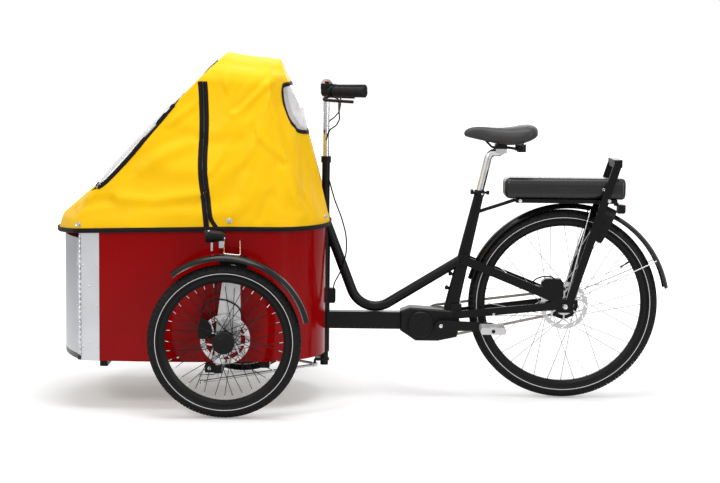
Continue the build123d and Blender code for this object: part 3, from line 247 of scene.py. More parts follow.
# %% Lay the floor
floor_mesh = bpy.data.meshes.new("studio_floor")
bm = bmesh.new()
bmesh.ops.create_grid(bm, x_segments=2, y_segments=2, size=30.0)
bm.to_mesh(floor_mesh)
bm.free()
new_object("studio_floor", floor_mesh)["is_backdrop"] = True
paper, tree, shader = new_material("studio_paper")
away = add_node(tree, "VectorMath", {0: object_place(tree)}, operation="LENGTH")
glow = add_node(tree, "MapRange", {"Value": away.outputs["Value"], "From Min": 1.0,
                                   "From Max": 4.0, "To Min": 0.24, "To Max": 1.0})
seen = add_node(tree, "LightPath").outputs["Is Camera Ray"]
feed(shader, {"Base Color": (0.90, 0.90, 0.90, 1.0), "Roughness": 0.9,
              "Specular IOR Level": 0.1, "Emission Color": full_white,
              "Emission Strength": math_node(tree, "MULTIPLY", seen, glow.outputs["Result"])})
floor_mesh.materials.append(paper)
print("floor laid")

# %% [markdown]
# ## Effects that several finishes share
#
# Paint wears where it is thin and light: on the edges. Castings, powder coat and moulded
# plastic all have a fine grain, and dust settles on whatever faces up. Each of these is
# built once as a node group with its own inputs, and every material that needs it
# places the group with its own numbers. Groups only give out masks, values and heights. The
# shader itself stays in the material.


# %% A helper for node groups
def new_group(name, inputs, outputs):
    """Empty shader node group with number inputs and outputs, its inputs' sockets and its end."""
    group = bpy.data.node_groups.new(name, "ShaderNodeTree")
    for label, value in inputs.items():
        socket = group.interface.new_socket(name=label, in_out="INPUT",
                                            socket_type="NodeSocketFloat")
        socket.default_value = value
    for label in outputs:
        group.interface.new_socket(name=label, in_out="OUTPUT", socket_type="NodeSocketFloat")
    start = group.nodes.new("NodeGroupInput").outputs
    return group, start, group.nodes.new("NodeGroupOutput")


# %% Edge wear, from how far a rounded normal leaves the true one
edge_wear, start, end = new_group("edge_wear", {"Radius": 0.0015, "Scale": 90.0, "Amount": 0.5},
                                  ["Mask"])
rounded = add_node(edge_wear, "Bevel", {"Radius": start["Radius"]}, samples=4)
facing = add_node(edge_wear, "NewGeometry")
dot = add_node(edge_wear, "VectorMath", {0: rounded.outputs[0], 1: facing.outputs["Normal"]},
               operation="DOT_PRODUCT")
turned = math_node(edge_wear, "SUBTRACT", 1.0, dot.outputs["Value"])
spots = noise_of(edge_wear, object_place(edge_wear), start["Scale"], 5.0)
broken = math_node(edge_wear, "MULTIPLY", turned, spots)
mask = math_node(edge_wear, "MULTIPLY", broken, start["Amount"])
feed(end, {"Mask": math_node(edge_wear, "MULTIPLY", mask, 14.0, clamp=True)})
print("group", edge_wear.name, "made")

# %% Grain, a fine and a broad noise for height and for patches
grain, start, end = new_group("grain", {"Fine": 1800.0, "Broad": 14.0, "Patchiness": 0.5},
                              ["Height", "Patches"])
place = object_place(grain)
centred = math_node(grain, "SUBTRACT", noise_of(grain, place, start["Broad"], 4.0), 0.5)
scaled = math_node(grain, "MULTIPLY", centred, start["Patchiness"])
feed(end, {"Height": noise_of(grain, place, start["Fine"], 2.0),
           "Patches": math_node(grain, "ADD", scaled, 0.5, clamp=True)})
print("group", grain.name, "made")

# %% Dust, where the surface faces up and the noise is high
dust, start, end = new_group("dust", {"Scale": 30.0, "Amount": 0.3}, ["Mask"])
upward = math_node(dust, "MAXIMUM", normal_axes(dust)["Z"], 0.0)
cloud = noise_of(dust, object_place(dust), start["Scale"], 6.0)
lying = math_node(dust, "MULTIPLY", upward, cloud)
feed(end, {"Mask": math_node(dust, "MULTIPLY", lying, start["Amount"], clamp=True)})
print("group", dust.name, "made")

# %% Weave, two crossed sets of threads on the cloth's own map
weave, start, end = new_group("weave", {"Threads": 900.0}, ["Height"])
chart = add_node(weave, "SeparateXYZ", {0: add_node(weave, "TexCoord").outputs["UV"]}).outputs
ways = [math_node(weave, "SINE", math_node(weave, "MULTIPLY", chart[axis], start["Threads"]))
        for axis in "XY"]
feed(end, {"Height": math_node(weave, "MULTIPLY", *ways)})
print("group", weave.name, "made")

# %% [markdown]
# ## Finishes
#
# Every finish starts the same way: a Principled shader with its plain numbers, then the
# grain group for patches in colour and roughness and for a fine bump, then edge wear and
# dust. One function does that, and each finish below is one call with the numbers that make it
# paint, metal, plastic or rubber. A value that is the same everywhere is set on the
# shader's own socket.


# %% One function for painted, metal and moulded finishes
def mix_colour(tree, factor, first, second):
    """Colour mix of sockets or plain colours."""
    first, second = ((*colour, 1.0) if isinstance(colour, tuple) else colour
                     for colour in (first, second))
    return add_node(tree, "Mix", {"Factor": factor, 6: first, 7: second},
                    data_type="RGBA").outputs[2]


def use_group(tree, group, **values):
    """Outputs of a node group placed with its own values."""
    return add_node(tree, "Group", values, node_tree=group).outputs


def finish(name, colour, roughness, metallic=0.0, coat=0.0, colour_shift=0.12, fine=1800.0,
           broad=14.0, bump=0.05, bump_distance=0.0002, rough_shift=0.12, wear=0.0,
           wear_colour=(0.05, 0.05, 0.05), dusty=0.0, sheen=0.0, specular=0.5):
    """Painted, metal or moulded finish with patches, grain, edge wear and dust."""
    material, tree, shader = new_material(name)
    skin = use_group(tree, grain, Fine=fine, Broad=broad, Patchiness=1.0)
    patches = skin["Patches"]
    darker = tuple(c * (1 - colour_shift) for c in colour)
    lighter = tuple(min(1.0, c * (1 + colour_shift)) for c in colour)
    tint = mix_colour(tree, patches, darker, lighter)
    rough = math_node(tree, "MULTIPLY", patches, rough_shift)
    rough = math_node(tree, "ADD", rough, roughness - rough_shift / 2, clamp=True)
    if wear > 0:
        worn = use_group(tree, edge_wear, Amount=wear)
        tint = mix_colour(tree, worn["Mask"], tint, wear_colour)
    if dusty > 0:
        lying = use_group(tree, dust, Amount=dusty)
        tint = mix_colour(tree, lying["Mask"], tint, (0.30, 0.28, 0.25))
        rough = math_node(tree, "ADD", rough, lying["Mask"], clamp=True)
    feed(shader, {"Metallic": metallic, "Coat Weight": coat, "Coat Roughness": 0.04,
                  "Specular IOR Level": specular, "Sheen Weight": sheen,
                  "Base Color": tint, "Roughness": rough})
    add_bump(tree, skin["Height"], bump, bump_distance)
    return material


# %% The painted and coated finishes
red_lacquer = finish("red_lacquer", (0.29, 0.0008, 0.0015), 0.13, coat=0.05, colour_shift=0.05,
                     fine=260.0, broad=5.0, bump=0.02, rough_shift=0.06, specular=0.10)
black_coat = finish("black_coat", (0.0040, 0.0038, 0.0042), 0.30, coat=0.03, fine=2600.0,
                    bump=0.12, wear=0.12, dusty=0.02, specular=0.16)
black_plastic = finish("black_plastic", (0.0046, 0.0044, 0.0048), 0.42, fine=2200.0, bump=0.25,
                       colour_shift=0.2, dusty=0.02, specular=0.16)
gloss_plastic = finish("gloss_plastic", (0.0040, 0.0038, 0.0042), 0.17, coat=0.08, fine=900.0,
                       bump=0.03, dusty=0.02, specular=0.20)
motor_black = finish("motor_black", (0.0046, 0.0044, 0.0048), 0.38, fine=3000.0, bump=0.30,
                     wear=0.10, dusty=0.02, specular=0.18)
battery_shell = finish("battery_shell", (0.013, 0.013, 0.0145), 0.26, coat=0.1, fine=1400.0,
                       bump=0.05, dusty=0.02, specular=0.38)
print("painted finishes:", red_lacquer.name, black_coat.name, motor_black.name)

# %% The bare metals
sheet_aluminium = finish("sheet_aluminium", (0.66, 0.67, 0.69), 0.34, metallic=1.0,
                         colour_shift=0.10, fine=700.0, broad=9.0, bump=0.04, rough_shift=0.16)
cast_aluminium = finish("cast_aluminium", (0.58, 0.58, 0.58), 0.42, metallic=0.75,
                        colour_shift=0.14, fine=900.0, broad=40.0, bump=0.35,
                        bump_distance=0.0006, rough_shift=0.2)
bright_steel = finish("bright_steel", (0.60, 0.60, 0.60), 0.24, metallic=1.0, fine=1500.0,
                      bump=0.05, rough_shift=0.14)
polished_post = finish("polished_post", (0.70, 0.70, 0.71), 0.16, metallic=1.0, fine=1200.0,
                       broad=20.0, bump=0.04)
oiled_chain = finish("oiled_chain", (0.30, 0.28, 0.25), 0.34, metallic=0.9, colour_shift=0.35,
                     broad=220.0, bump=0.2)
print("bare metals:", sheet_aluminium.name, cast_aluminium.name, polished_post.name)

# %% The soft finishes
rubber = finish("rubber", (0.0060, 0.0058, 0.0062), 0.62, fine=1500.0, broad=30.0, bump=0.25,
                colour_shift=0.25, dusty=0.03, specular=0.15)
grip_rubber = finish("grip_rubber", (0.0090, 0.0088, 0.0092), 0.7, fine=900.0, bump=0.5,
                     colour_shift=0.2, specular=0.15)
webbing = finish("webbing", (0.0110, 0.0085, 0.0100), 0.75, fine=700.0, bump=0.6,
                 colour_shift=0.3, sheen=0.05, specular=0.1)
red_lens = finish("red_lens", (0.60, 0.02, 0.02), 0.12, coat=1.0, fine=400.0, bump=0.1)
print("soft finishes:", rubber.name, grip_rubber.name, webbing.name)

# %% [markdown]
# ## Finishes that change with the radius
#
# A laced wheel is one solid here, but the real one is a black rim, thin spokes, bright
# nipples at the rim and a black hub. All of those lie at different distances from the
# axle, so the colour can be chosen by radius. A Mapping node moves the object's coordinates to
# the hub, and the length of what is left in X and Z is the radius. The tyres use the same
# trick for their fine silver line.


# %% Radius from an axle as a mask
def recolour(material, centre, low, high, grey, metal):
    """Lays a ring of grey, from a low to a high radius round an axle along Y, over a finish."""
    tree = material.node_tree
    mapping = add_node(tree, "Mapping", {"Vector": object_place(tree),
                                         "Location": (-centre.x, 0.0, -centre.z),
                                         "Scale": (1.0, 0.0, 1.0)})
    length = add_node(tree, "VectorMath", {0: mapping.outputs["Vector"]}, operation="LENGTH")
    radius = length.outputs["Value"]
    ring = math_node(tree, "MULTIPLY", math_node(tree, "GREATER_THAN", radius, low),
                     math_node(tree, "LESS_THAN", radius, high))
    inputs = tree.nodes["Principled BSDF"].inputs
    tint = mix_colour(tree, ring, inputs["Base Color"].links[0].from_socket, (grey, grey, grey))
    tree.links.new(tint, inputs["Base Color"])
    for label, value in (("Metallic", metal), ("Roughness", 0.3)):
        socket = inputs[label]
        before = socket.links[0].from_socket if socket.links else socket.default_value
        mixed = add_node(tree, "Mix", {0: ring, 2: before, 3: value})
        tree.links.new(mixed.outputs[0], socket)
    return material


rim_black, tyre_black = (0.0050, 0.0048, 0.0052), (0.0080, 0.0076, 0.0082)
rim_numbers = dict(fine=1200.0, bump=0.06, specular=0.18)
tyre_numbers = dict(fine=1400.0, bump=0.3, colour_shift=0.25, dusty=0.04, specular=0.14)
front_wheel_finish = recolour(finish("front_wheel_finish", rim_black, 0.38, **rim_numbers),
                              front_hub, 0.176, 0.1875, 0.62, 0.9)
rear_wheel_finish = recolour(finish("rear_wheel_finish", rim_black, 0.36, **rim_numbers),
                             rear_hub, 0.050, 0.262, 0.40, 0.9)
front_tyre_finish = recolour(finish("front_tyre_finish", tyre_black, 0.6, **tyre_numbers),
                             front_hub, 0.2175, 0.2195, 0.66, 0.0)
rear_tyre_finish = recolour(finish("rear_tyre_finish", tyre_black, 0.6, **tyre_numbers),
                            rear_hub, 0.2935, 0.2955, 0.66, 0.0)
print("wheel finishes:", front_wheel_finish.name, rear_wheel_finish.name)

# %% [markdown]
# ## Plywood
#
# The bench and the floor are film-faced birch plywood. Its face has long soft figure and its
# edge shows the plies. A noise stretched along X gives the figure, and a wave in Z gives the
# plies, chosen by which way the surface faces.

# %% Make the plywood
plywood = finish("plywood", (0.42, 0.27, 0.14), 0.5, fine=420.0, bump=0.12, colour_shift=0.1)
tree = plywood.node_tree
place = object_place(tree)
stretched = add_node(tree, "Mapping", {"Vector": place, "Scale": (3.0, 38.0, 38.0)})
figure = noise_of(tree, stretched.outputs["Vector"], 2.0, 6.0)
plies = add_node(tree, "TexWave", {"Vector": place, "Scale": 90.0}, bands_direction="Z")
upright = math_node(tree, "ABSOLUTE", normal_axes(tree)["Z"])
on_edge = math_node(tree, "LESS_THAN", upright, 0.5)
face = mix_colour(tree, figure, (0.30, 0.18, 0.09), (0.50, 0.34, 0.19))
edge = mix_colour(tree, plies.outputs["Fac"], (0.22, 0.12, 0.06), (0.48, 0.33, 0.19))
feed(tree.nodes["Principled BSDF"], {"Base Color": mix_colour(tree, on_edge, face, edge)})
print("plywood made")

# %% [markdown]
# ## Dress the solids
#
# A solid from the frame keeps its mesh. Only the materials in its slots change. Each
# name below is one node or one family of nodes of the bike.

# %% A door finish with a black foot
door_finish = finish("door_finish", (0.60, 0.61, 0.64), 0.30, metallic=1.0, colour_shift=0.12,
                     fine=700.0, broad=6.0, bump=0.04, rough_shift=0.16)
tree = door_finish.node_tree
shader = tree.nodes["Principled BSDF"]
height = add_node(tree, "SeparateXYZ", {0: object_place(tree)}).outputs["Z"]
foot_height = 0.018
foot = math_node(tree, "LESS_THAN", height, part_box("door_panel")[0].z + foot_height)
bare = shader.inputs["Base Color"].links[0].from_socket
feed(shader, {"Base Color": mix_colour(tree, foot, bare, (0.005, 0.005, 0.005)),
              "Metallic": math_node(tree, "SUBTRACT", 1.0, foot)})
print("door finish made")

# %% Give every solid its finish
families = [
    (red_lacquer, "box_wall"), (door_finish, "door_panel"), (sheet_aluminium, "corner_strips"),
    (plywood, "box_floor bench"), (webbing, "hood hood_windows"), (oiled_chain, "chain"),
    (black_coat, "axle_frame upper_lugs head_tube main_beam seat_tube step_tube rear_stays "
                 "carrier_hoop battery_tray tray_link steering_column handlebar crank caliper "
                 "saddle_rails"),
    (black_plastic, "brake_levers head_lamps tail_lamp saddle ring_lock seat_clamp brake_hose "
                    "bar_controls bar_cables"),
    (bright_steel, "door_latch rear_axle fender_stays rear_fender_stays tie_rod disc"),
    (motor_black, "motor_housing"), (battery_shell, "battery"), (grip_rubber, "grips"),
    (polished_post, "seat_post stem_post"), (gloss_plastic, "front_fenders rear_fender"),
    (cast_aluminium, "pedal knuckle"), (rear_tyre_finish, "tyre_rear"),
    (front_tyre_finish, "tyre"), (rear_wheel_finish, "wheel_rear"),
    (front_wheel_finish, "wheel"),
]
finish_of = {name: material for material, names in families for name in names.split()}
for name, node in nodes.items():
    family = name if name in finish_of else name.rsplit("_", 1)[0]
    node.data.materials.clear()
    node.data.materials.append(finish_of[family])
print("finished", len(nodes), "solids")

# %% [markdown]
# ## Helpers for new pieces
#
# A new piece starts as an empty bmesh. Operators shape it, and one short helper turns it
# into an object: it merges doubles, makes the faces point outwards, sets smooth shading and
# hangs the object on its body. A second helper lofts a closed form through rings, which is how
# shoulders, lamps and saddles are easiest to describe: a few circles, moved and bridged.


# %% From a bmesh to a piece
def piece(bm, name, body, *materials, slot=None, smooth=True, outward=True, replaces=()):
    """Object from a bmesh, riding on a body, with its materials; the slot is not used."""
    bmesh.ops.remove_doubles(bm, verts=bm.verts, dist=1e-6)
    if outward:
        bmesh.ops.recalc_face_normals(bm, faces=bm.faces)
    for face in bm.faces:
        face.smooth = smooth
    mesh = bpy.data.meshes.new(name)
    bm.to_mesh(mesh)
    bm.free()
    for material in materials:
        mesh.materials.append(material)
    obj = new_object(name, mesh)
    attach(obj, body)
    if replaces:
        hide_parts(*replaces)
    return obj


def add_bevel(obj, width, segments=2):
    """Live bevel on the sharp edges of a piece."""
    bevel = obj.modifiers.new("edges", "BEVEL")
    bevel.width = width
    bevel.segments = segments
    bevel.limit_method = "ANGLE"
    bevel.angle_limit = radians(35)
    bevel.harden_normals = True
    return obj


def add_subdivision(obj, levels):
    """Subdivision surface with the same levels in view and render."""
    modifier = obj.modifiers.new("smooth", "SUBSURF")
    modifier.levels = modifier.render_levels = levels


def ring(bm, centre, turn, radii, segments):
    """Ellipse of edges at a place; gives its vertices in order."""
    made = bmesh.ops.create_circle(bm, segments=segments, radius=1.0)["verts"]
    shape = Matrix.Diagonal((radii[0], radii[1], 1.0, 1.0))
    bmesh.ops.transform(bm, matrix=Matrix.Translation(centre) @ turn @ shape, verts=made)
    return made


def loft(bm, rings):
    """Bridges rings of vertices one after another and closes both ends."""
    loops = []
    for verts in rings:
        inside = set(verts)
        loops.append([e for v in verts for e in v.link_edges if e.other_vert(v) in inside])
    for low, high in zip(loops, loops[1:]):
        bmesh.ops.bridge_loops(bm, edges=list(set(low + high)))
    for loop in (loops[0], loops[-1]):
        bmesh.ops.contextual_create(bm, geom=list(set(loop)))


def box_at(bm, place, size, turn=Matrix.Identity(4)):
    """Box of a size at a place, turned by a matrix."""
    verts = bmesh.ops.create_cube(bm, size=1.0)["verts"]
    shape = Matrix.Translation(place) @ turn @ Matrix.Diagonal((*size, 1.0))
    bmesh.ops.transform(bm, matrix=shape, verts=verts)


def turned_profile(bm, profile, centre, steps, axis=(0, 1, 0), out=(1, 0, 0)):
    """Spins a chain of (radius, along) points about an axis through the centre."""
    axis, out, centre = Vector(axis).normalized(), Vector(out), Vector(centre)
    chain = [bm.verts.new(centre + out * radius + axis * along) for radius, along in profile]
    edges = [bm.edges.new(pair) for pair in zip(chain, chain[1:])]
    bmesh.ops.spin(bm, geom=chain + edges, cent=centre, axis=axis, angle=2 * pi, steps=steps,
                   use_merge=True, use_duplicate=False)


print("helpers ready")

# %% [markdown]
# ## Tyres
#
# A city tyre is a round casing with a belt of low blocks. The casing is a profile spun about
# the axle. The tread is made from the casing itself: the faces along the crown are grouped in
# blocks and inset, and the gap between blocks is pushed in a millimetre. Only
# operators touch the mesh, and the spin closes it without a seam.


# %% Spin and cut the tyres
def make_tyre(name, node, body, material, steps):
    """Spun casing with a tread of low blocks, in the place of a solid tyre."""
    low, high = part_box(node)
    centre = (low + high) / 2
    outer, half = (high.x - low.x) / 2, (high.y - low.y) / 2
    bead = outer - (0.0400 if outer < 0.3 else 0.0405)
    bead_half, groove_depth, block_gap = half * 0.62, 0.0011, 0.0008
    profile = [(bead, -bead_half)]
    for number in range(13):
        angle = radians(-112 + 224 / 12 * number)
        profile.append((outer - half - 0.0002 + half * cos(angle) * 0.998, half * sin(angle)))
    profile.append((bead, bead_half))
    bm = bmesh.new()
    turned_profile(bm, profile + [profile[0]], centre, steps)
    bm.faces.ensure_lookup_table()
    blocks = []
    for face in bm.faces:
        middle = face.calc_center_median() - centre
        radius = sqrt(middle.x ** 2 + middle.z ** 2)
        turn = (degrees(atan2(middle.z, middle.x)) % 360) / 360 * steps
        shoulder = abs(middle.y) > half * 0.28
        if radius > outer - half * 0.62 and (not shoulder or int(turn) % 3 != 0):
            blocks.append(face)
    inner = bmesh.ops.inset_individual(bm, faces=blocks, thickness=block_gap, depth=0.0,
                                       use_even_offset=True)["faces"]
    for face in inner:
        for vert in face.verts:
            out = vert.co - centre
            out.y = 0
            vert.co -= out.normalized() * groove_depth
    tyre = piece(bm, name, body, material, slot="tyre", replaces=(node,))
    print(name, "faces", len(tyre.data.polygons), "blocks", len(blocks))


for _, name in both_sides:
    make_tyre(f"tyre_front_{name}", f"tyre_{name}", f"front_wheel_{name}", front_tyre_finish, 132)
make_tyre("tyre_back", "tyre_rear", "rear_wheel", rear_tyre_finish, 168)

# %% [markdown]
# ## Hood cloth
#
# The hood is one skin of coated cloth, sewn from panels and stretched over the box like a
# small tent: a tall flat side with a zip, a long front slope with a window, rounded
# rear corners with a second window, and a low gabled roof. It is modelled as rings of the
# tent in plan, bridged from the hem to the ridge and subdivided into cloth-sized faces. Then a
# cloth simulation gives it slack between its sewn edges, which hold still, so that the
# panels sag and fold on their own.

# %% The finish of the cloth
hood_cloth_finish, tree, shader = new_material("hood_cloth_finish")
skin = use_group(tree, grain, Fine=420.0, Broad=7.0, Patchiness=1.0)
outside = mix_colour(tree, skin["Patches"], (0.95, 0.52, 0.0), (1.0, 0.61, 0.002))
lying = use_group(tree, dust, Scale=22.0, Amount=0.06)
dusted = mix_colour(tree, lying["Mask"], outside, (0.45, 0.36, 0.2))
# The back faces of the cloth are painted a darker orange: painted shade inside the hood, with
# painted light that comes through the cloth.
behind = add_node(tree, "NewGeometry").outputs["Backfacing"]
rough = math_node(tree, "MULTIPLY", skin["Patches"], 0.2)
feed(shader, {"Specular IOR Level": 0.14,
              "Base Color": mix_colour(tree, behind, dusted, (0.72, 0.27, 0.0)),
              "Roughness": math_node(tree, "ADD", rough, 0.42)})
threads = use_group(tree, weave, Threads=7000.0)
coated = math_node(tree, "MULTIPLY", skin["Height"], 0.8)
add_bump(tree, math_node(tree, "ADD", threads["Height"], coated), 0.10, 0.0003)
print("cloth finish made")

# %% The rings of the tent
# Each ring is a height, then the distances behind the front axle of the nose, the front
# corner, the shoulder and the rear, then the half widths at the corner, side, shoulder and end.
hood_rings = [
    (0.570, -0.590, -0.492, 0.110, 0.326, 0.301, 0.316, 0.296, 0.052),
    (0.622, -0.572, -0.482, 0.110, 0.320, 0.297, 0.312, 0.291, 0.054),
    (0.716, -0.464, -0.434, 0.114, 0.298, 0.283, 0.299, 0.276, 0.060),
    (0.852, -0.337, -0.308, 0.120, 0.260, 0.262, 0.277, 0.252, 0.072),
    (0.950, -0.243, -0.219, 0.122, 0.232, 0.240, 0.255, 0.232, 0.084),
    (1.030, -0.163, -0.144, 0.124, 0.207, 0.218, 0.234, 0.212, 0.094),
    (1.076, -0.112, -0.100, 0.126, 0.191, 0.204, 0.220, 0.200, 0.104),
    (1.110, -0.080, -0.066, 0.124, 0.174, 0.180, 0.192, 0.178, 0.098),
    (1.148, -0.040, -0.032, 0.118, 0.158, 0.096, 0.100, 0.092, 0.056),
    (1.165, -0.020, -0.014, 0.112, 0.152, 0.0, 0.0, 0.0, 0.0),
]
roof_level, ridge_level = 7, 9
around, row_step = 224, 0.0145
corner_share, shoulder_share, end_share = 14 / 56, 35 / 56, 51 / 56
seam_reach = 0.004


def quadratic(first, middle, last, share):
    """Value on a parabola through three values at shares 0, 1/2 and 1."""
    bend = 2 * (first + last - 2 * middle)
    return first + share * (last - first) + bend * share * (share - 1)


def tent_place(row, share):
    """Place in plan at a share of the way from the nose round the left side to the tail."""
    nose, corner, shoulder, rear, corner_half, side_half, shoulder_half, end_half = row
    if share < corner_share:
        s = share / corner_share
        return nose + (corner - nose) * s * s, -corner_half * s
    if share < shoulder_share:
        s = (share - corner_share) / (shoulder_share - corner_share)
        return corner + (shoulder - corner) * s, -quadratic(corner_half, side_half,
                                                            shoulder_half, s)
    if share < end_share:
        s = (share - shoulder_share) / (end_share - shoulder_share)
        reach = min(0.9, 0.55 + 0.35 * (shoulder_half - end_half) / 0.24)
        mid_x = shoulder + (rear - shoulder) * reach
        mid_y = end_half + (shoulder_half - end_half) * reach
        ahead, back = 2 * s * (1 - s), s * s
        x = (1 - s) ** 2 * shoulder + ahead * mid_x + back * rear
        return x, -((1 - s) ** 2 * shoulder_half + ahead * mid_y + back * end_half)
    s = (share - end_share) / (1 - end_share)
    return rear, -end_half * (1 - s)


def held_at(level, share):
    """How firmly a point is held: hem, roof edge and ridge fully, other seams partly."""
    if level in (0, roof_level, ridge_level):
        return 1.0
    if min(abs(share - seam) for seam in (corner_share, shoulder_share)) < seam_reach:
        return 0.9 if level == 1 else 1.0
    if abs(share - end_share) < seam_reach or share > 0.995 or share < 0.005:
        return 0.75
    return 0.85 if level == 1 else 0.0


def hem_lift(share):
    """How far the hem rises above its lowest ring: most behind the zip, least at the nose."""
    steps = [(0.0, -0.009), (0.12, -0.004), (0.25, 0.007), (0.35, 0.012), (0.50, 0.018),
             (0.56, 0.0195), (0.70, 0.017), (0.90, 0.018), (1.0, 0.017)]
    for (first, low), (last, high) in zip(steps, steps[1:]):
        if share <= last:
            return low + (high - low) * (share - first) / (last - first)


def rows_of_tent():
    """Rows from hem to ridge at cloth-sized steps; a row that is a ring carries its level."""
    for level, (low, high) in enumerate(zip(hood_rings, hood_rings[1:])):
        count = max(2, round((high[0] - low[0]) / row_step))
        for step in range(count):
            s = step / count
            row = [a + s * (b - a) for a, b in zip(low, high)]
            yield level if step == 0 else None, s + level, row
    yield ridge_level, ridge_level, hood_rings[-1]


bm = bmesh.new()
hold = bm.verts.layers.deform.verify()
share_layer = bm.verts.layers.float.new("share")
height_layer = bm.verts.layers.float.new("height")
tent = []
for level, depth, (height, *row) in rows_of_tent():
    verts = bmesh.ops.create_circle(bm, segments=around, radius=1.0)["verts"]
    for number, vert in enumerate(verts):
        share = number / around * 2
        side = 1 if share <= 1 else -1
        share = min(share, 2 - share)
        x, y = tent_place(row, share)
        drop = clamped((height - 0.98) / 0.12)
        tilt = max(0.0, (x + 0.017) / 0.171) * 0.022 * drop
        z = height - tilt + hem_lift(share) * max(0.0, 1.0 - depth)
        vert.co = (front_axle_x + x, y * side, z)
        vert[hold][0] = held_at(level, share)
        vert[share_layer], vert[height_layer] = share, z
    tent.append(verts)
for low, high in zip(tent, tent[1:]):
    inside = set(low) | set(high)
    edges = [e for v in inside for e in v.link_edges if e.other_vert(v) in inside]
    bmesh.ops.bridge_loops(bm, edges=list(set(edges)))
print("tent rows", len(tent), "faces", len(bm.faces))

# %% Face the cloth outwards and cut the slot for the column
bmesh.ops.remove_doubles(bm, verts=bm.verts, dist=1e-5)
bmesh.ops.recalc_face_normals(bm, faces=bm.faces)
inner_point = Vector((front_axle_x, 0, 0.8))
outward = sum(f.normal.dot(f.calc_center_median() - inner_point) for f in bm.faces)
if outward < 0:
    bmesh.ops.reverse_faces(bm, faces=bm.faces)
slot_half, slot_top, slot_front = 0.024, 0.74, column.x - 0.03


def in_slot(place):
    return abs(place.y) < slot_half and place.x > slot_front and place.z < slot_top


behind_column = [f for f in bm.faces if in_slot(f.calc_center_median())]
bmesh.ops.delete(bm, geom=behind_column, context="FACES")
print("cloth faces", len(bm.faces), "slot faces cut", len(behind_column))

# %% Give the cloth its own map, in metres, for the weave
chart = bm.loops.layers.uv.new("cloth")
for face in bm.faces:
    normal = face.normal
    for corner in face.loops:
        x, y, z = corner.vert.co
        if abs(normal.z) > 0.85:
            corner[chart].uv = (x, y)
        elif abs(normal.y) > abs(normal.x):
            corner[chart].uv = (x, z)
        else:
            corner[chart].uv = (y, z / max(0.3, sqrt(1 - normal.z ** 2)))
flat_area = sum(face.calc_area() for face in bm.faces)
for face in bm.faces:
    face.smooth = True
hood_mesh = bpy.data.meshes.new("hood_cloth")
bm.to_mesh(hood_mesh)
bm.free()
hood_cloth = new_object("hood_cloth", hood_mesh)
hood_cloth.vertex_groups.new(name="hold")
print("cloth area", round(flat_area, 3), "square metres,", len(hood_mesh.vertices), "points")

# %% [markdown]
# ## Letting the cloth hang
#
# The weights in the group called hold keep the hem, the sewn corners and the roof edge in
# place. A negative shrink makes the cloth a little larger than its frame, which is what slack
# is. Gravity pulls it down for a moment, and the result is copied into a plain mesh, so no
# simulation is left on the piece.


# %% Simulate and keep the result
def settle(obj, frames, weight, **settings):
    """Runs a cloth simulation on an object and keeps the settled shape as its mesh."""
    cloth = obj.modifiers.new("cloth", "CLOTH")
    for label, value in settings.items():
        setattr(cloth.settings, label, value)
    cloth.settings.effector_weights.gravity = weight
    cloth.point_cache.frame_end = frames
    scene = bpy.context.scene
    for frame_number in range(1, frames + 1):
        scene.frame_set(frame_number)
    keep_mesh(obj)
    scene.frame_set(1)


def keep_mesh(obj):
    """Replaces an object's mesh by what its modifiers make of it, and drops them."""
    graph = bpy.context.evaluated_depsgraph_get()
    final = bpy.data.meshes.new_from_object(obj.evaluated_get(graph),
                                            preserve_all_data_layers=True, depsgraph=graph)
    obj.modifiers.clear()
    obj.data = final


settle(hood_cloth, 14, 0.2, vertex_group_mass="hold", quality=5, mass=0.30,
       tension_stiffness=20, compression_stiffness=20, shear_stiffness=6,
       bending_stiffness=0.5, shrink_min=-0.0022, air_damping=2.0)
add_subdivision(hood_cloth, 1)
keep_mesh(hood_cloth)
hood_cloth.data.materials.append(hood_cloth_finish)
spread = [v.co for v in hood_cloth.data.vertices]
print("cloth after hanging:", len(spread), "points, top", round(max(v.z for v in spread), 3))

# %% [markdown]
# ## Creases
#
# Slack cloth also keeps creases where it was folded and where seams pull on it. Each crease
# is a stroke on the side panel with a height and a width: the cloth rises along
# the stroke and dips beside it. The right side gets the same strokes, slightly moved, so
# that the two sides do not mirror each other.

# %% Press the creases into the cloth
creases = [
    ([(0.147, 1.086), (0.033, 0.970), (0.009, 0.958)], 0.0060, 0.011),
    ([(-0.036, 1.109), (0.003, 1.016), (0.009, 0.964)], 0.0034, 0.010),
    ([(0.123, 1.016), (0.093, 0.912)], 0.0034, 0.010),
    ([(-0.060, 0.772), (-0.027, 0.819)], 0.0034, 0.011),
    ([(-0.123, 0.865), (-0.200, 0.835), (-0.279, 0.784)], 0.0075, 0.022),
    ([(-0.357, 0.691), (-0.230, 0.684), (-0.099, 0.703)], 0.0070, 0.015),
    ([(-0.477, 0.668), (-0.369, 0.685)], -0.0050, 0.014),
    ([(-0.531, 0.650), (-0.447, 0.685)], 0.0050, 0.013),
    ([(0.183, 0.784), (0.231, 0.633)], 0.0060, 0.020),
    ([(0.099, 0.889), (0.177, 0.819)], 0.0040, 0.012),
    ([(0.050, 0.760), (0.020, 0.640)], 0.0034, 0.015),
    ([(0.130, 0.700), (0.100, 0.620)], -0.0036, 0.015),
    ([(-0.190, 0.930), (-0.120, 0.985)], 0.0036, 0.012),
    ([(0.060, 0.900), (0.075, 0.800), (0.050, 0.720)], 0.0036, 0.016),
]


bell_base = 2.718


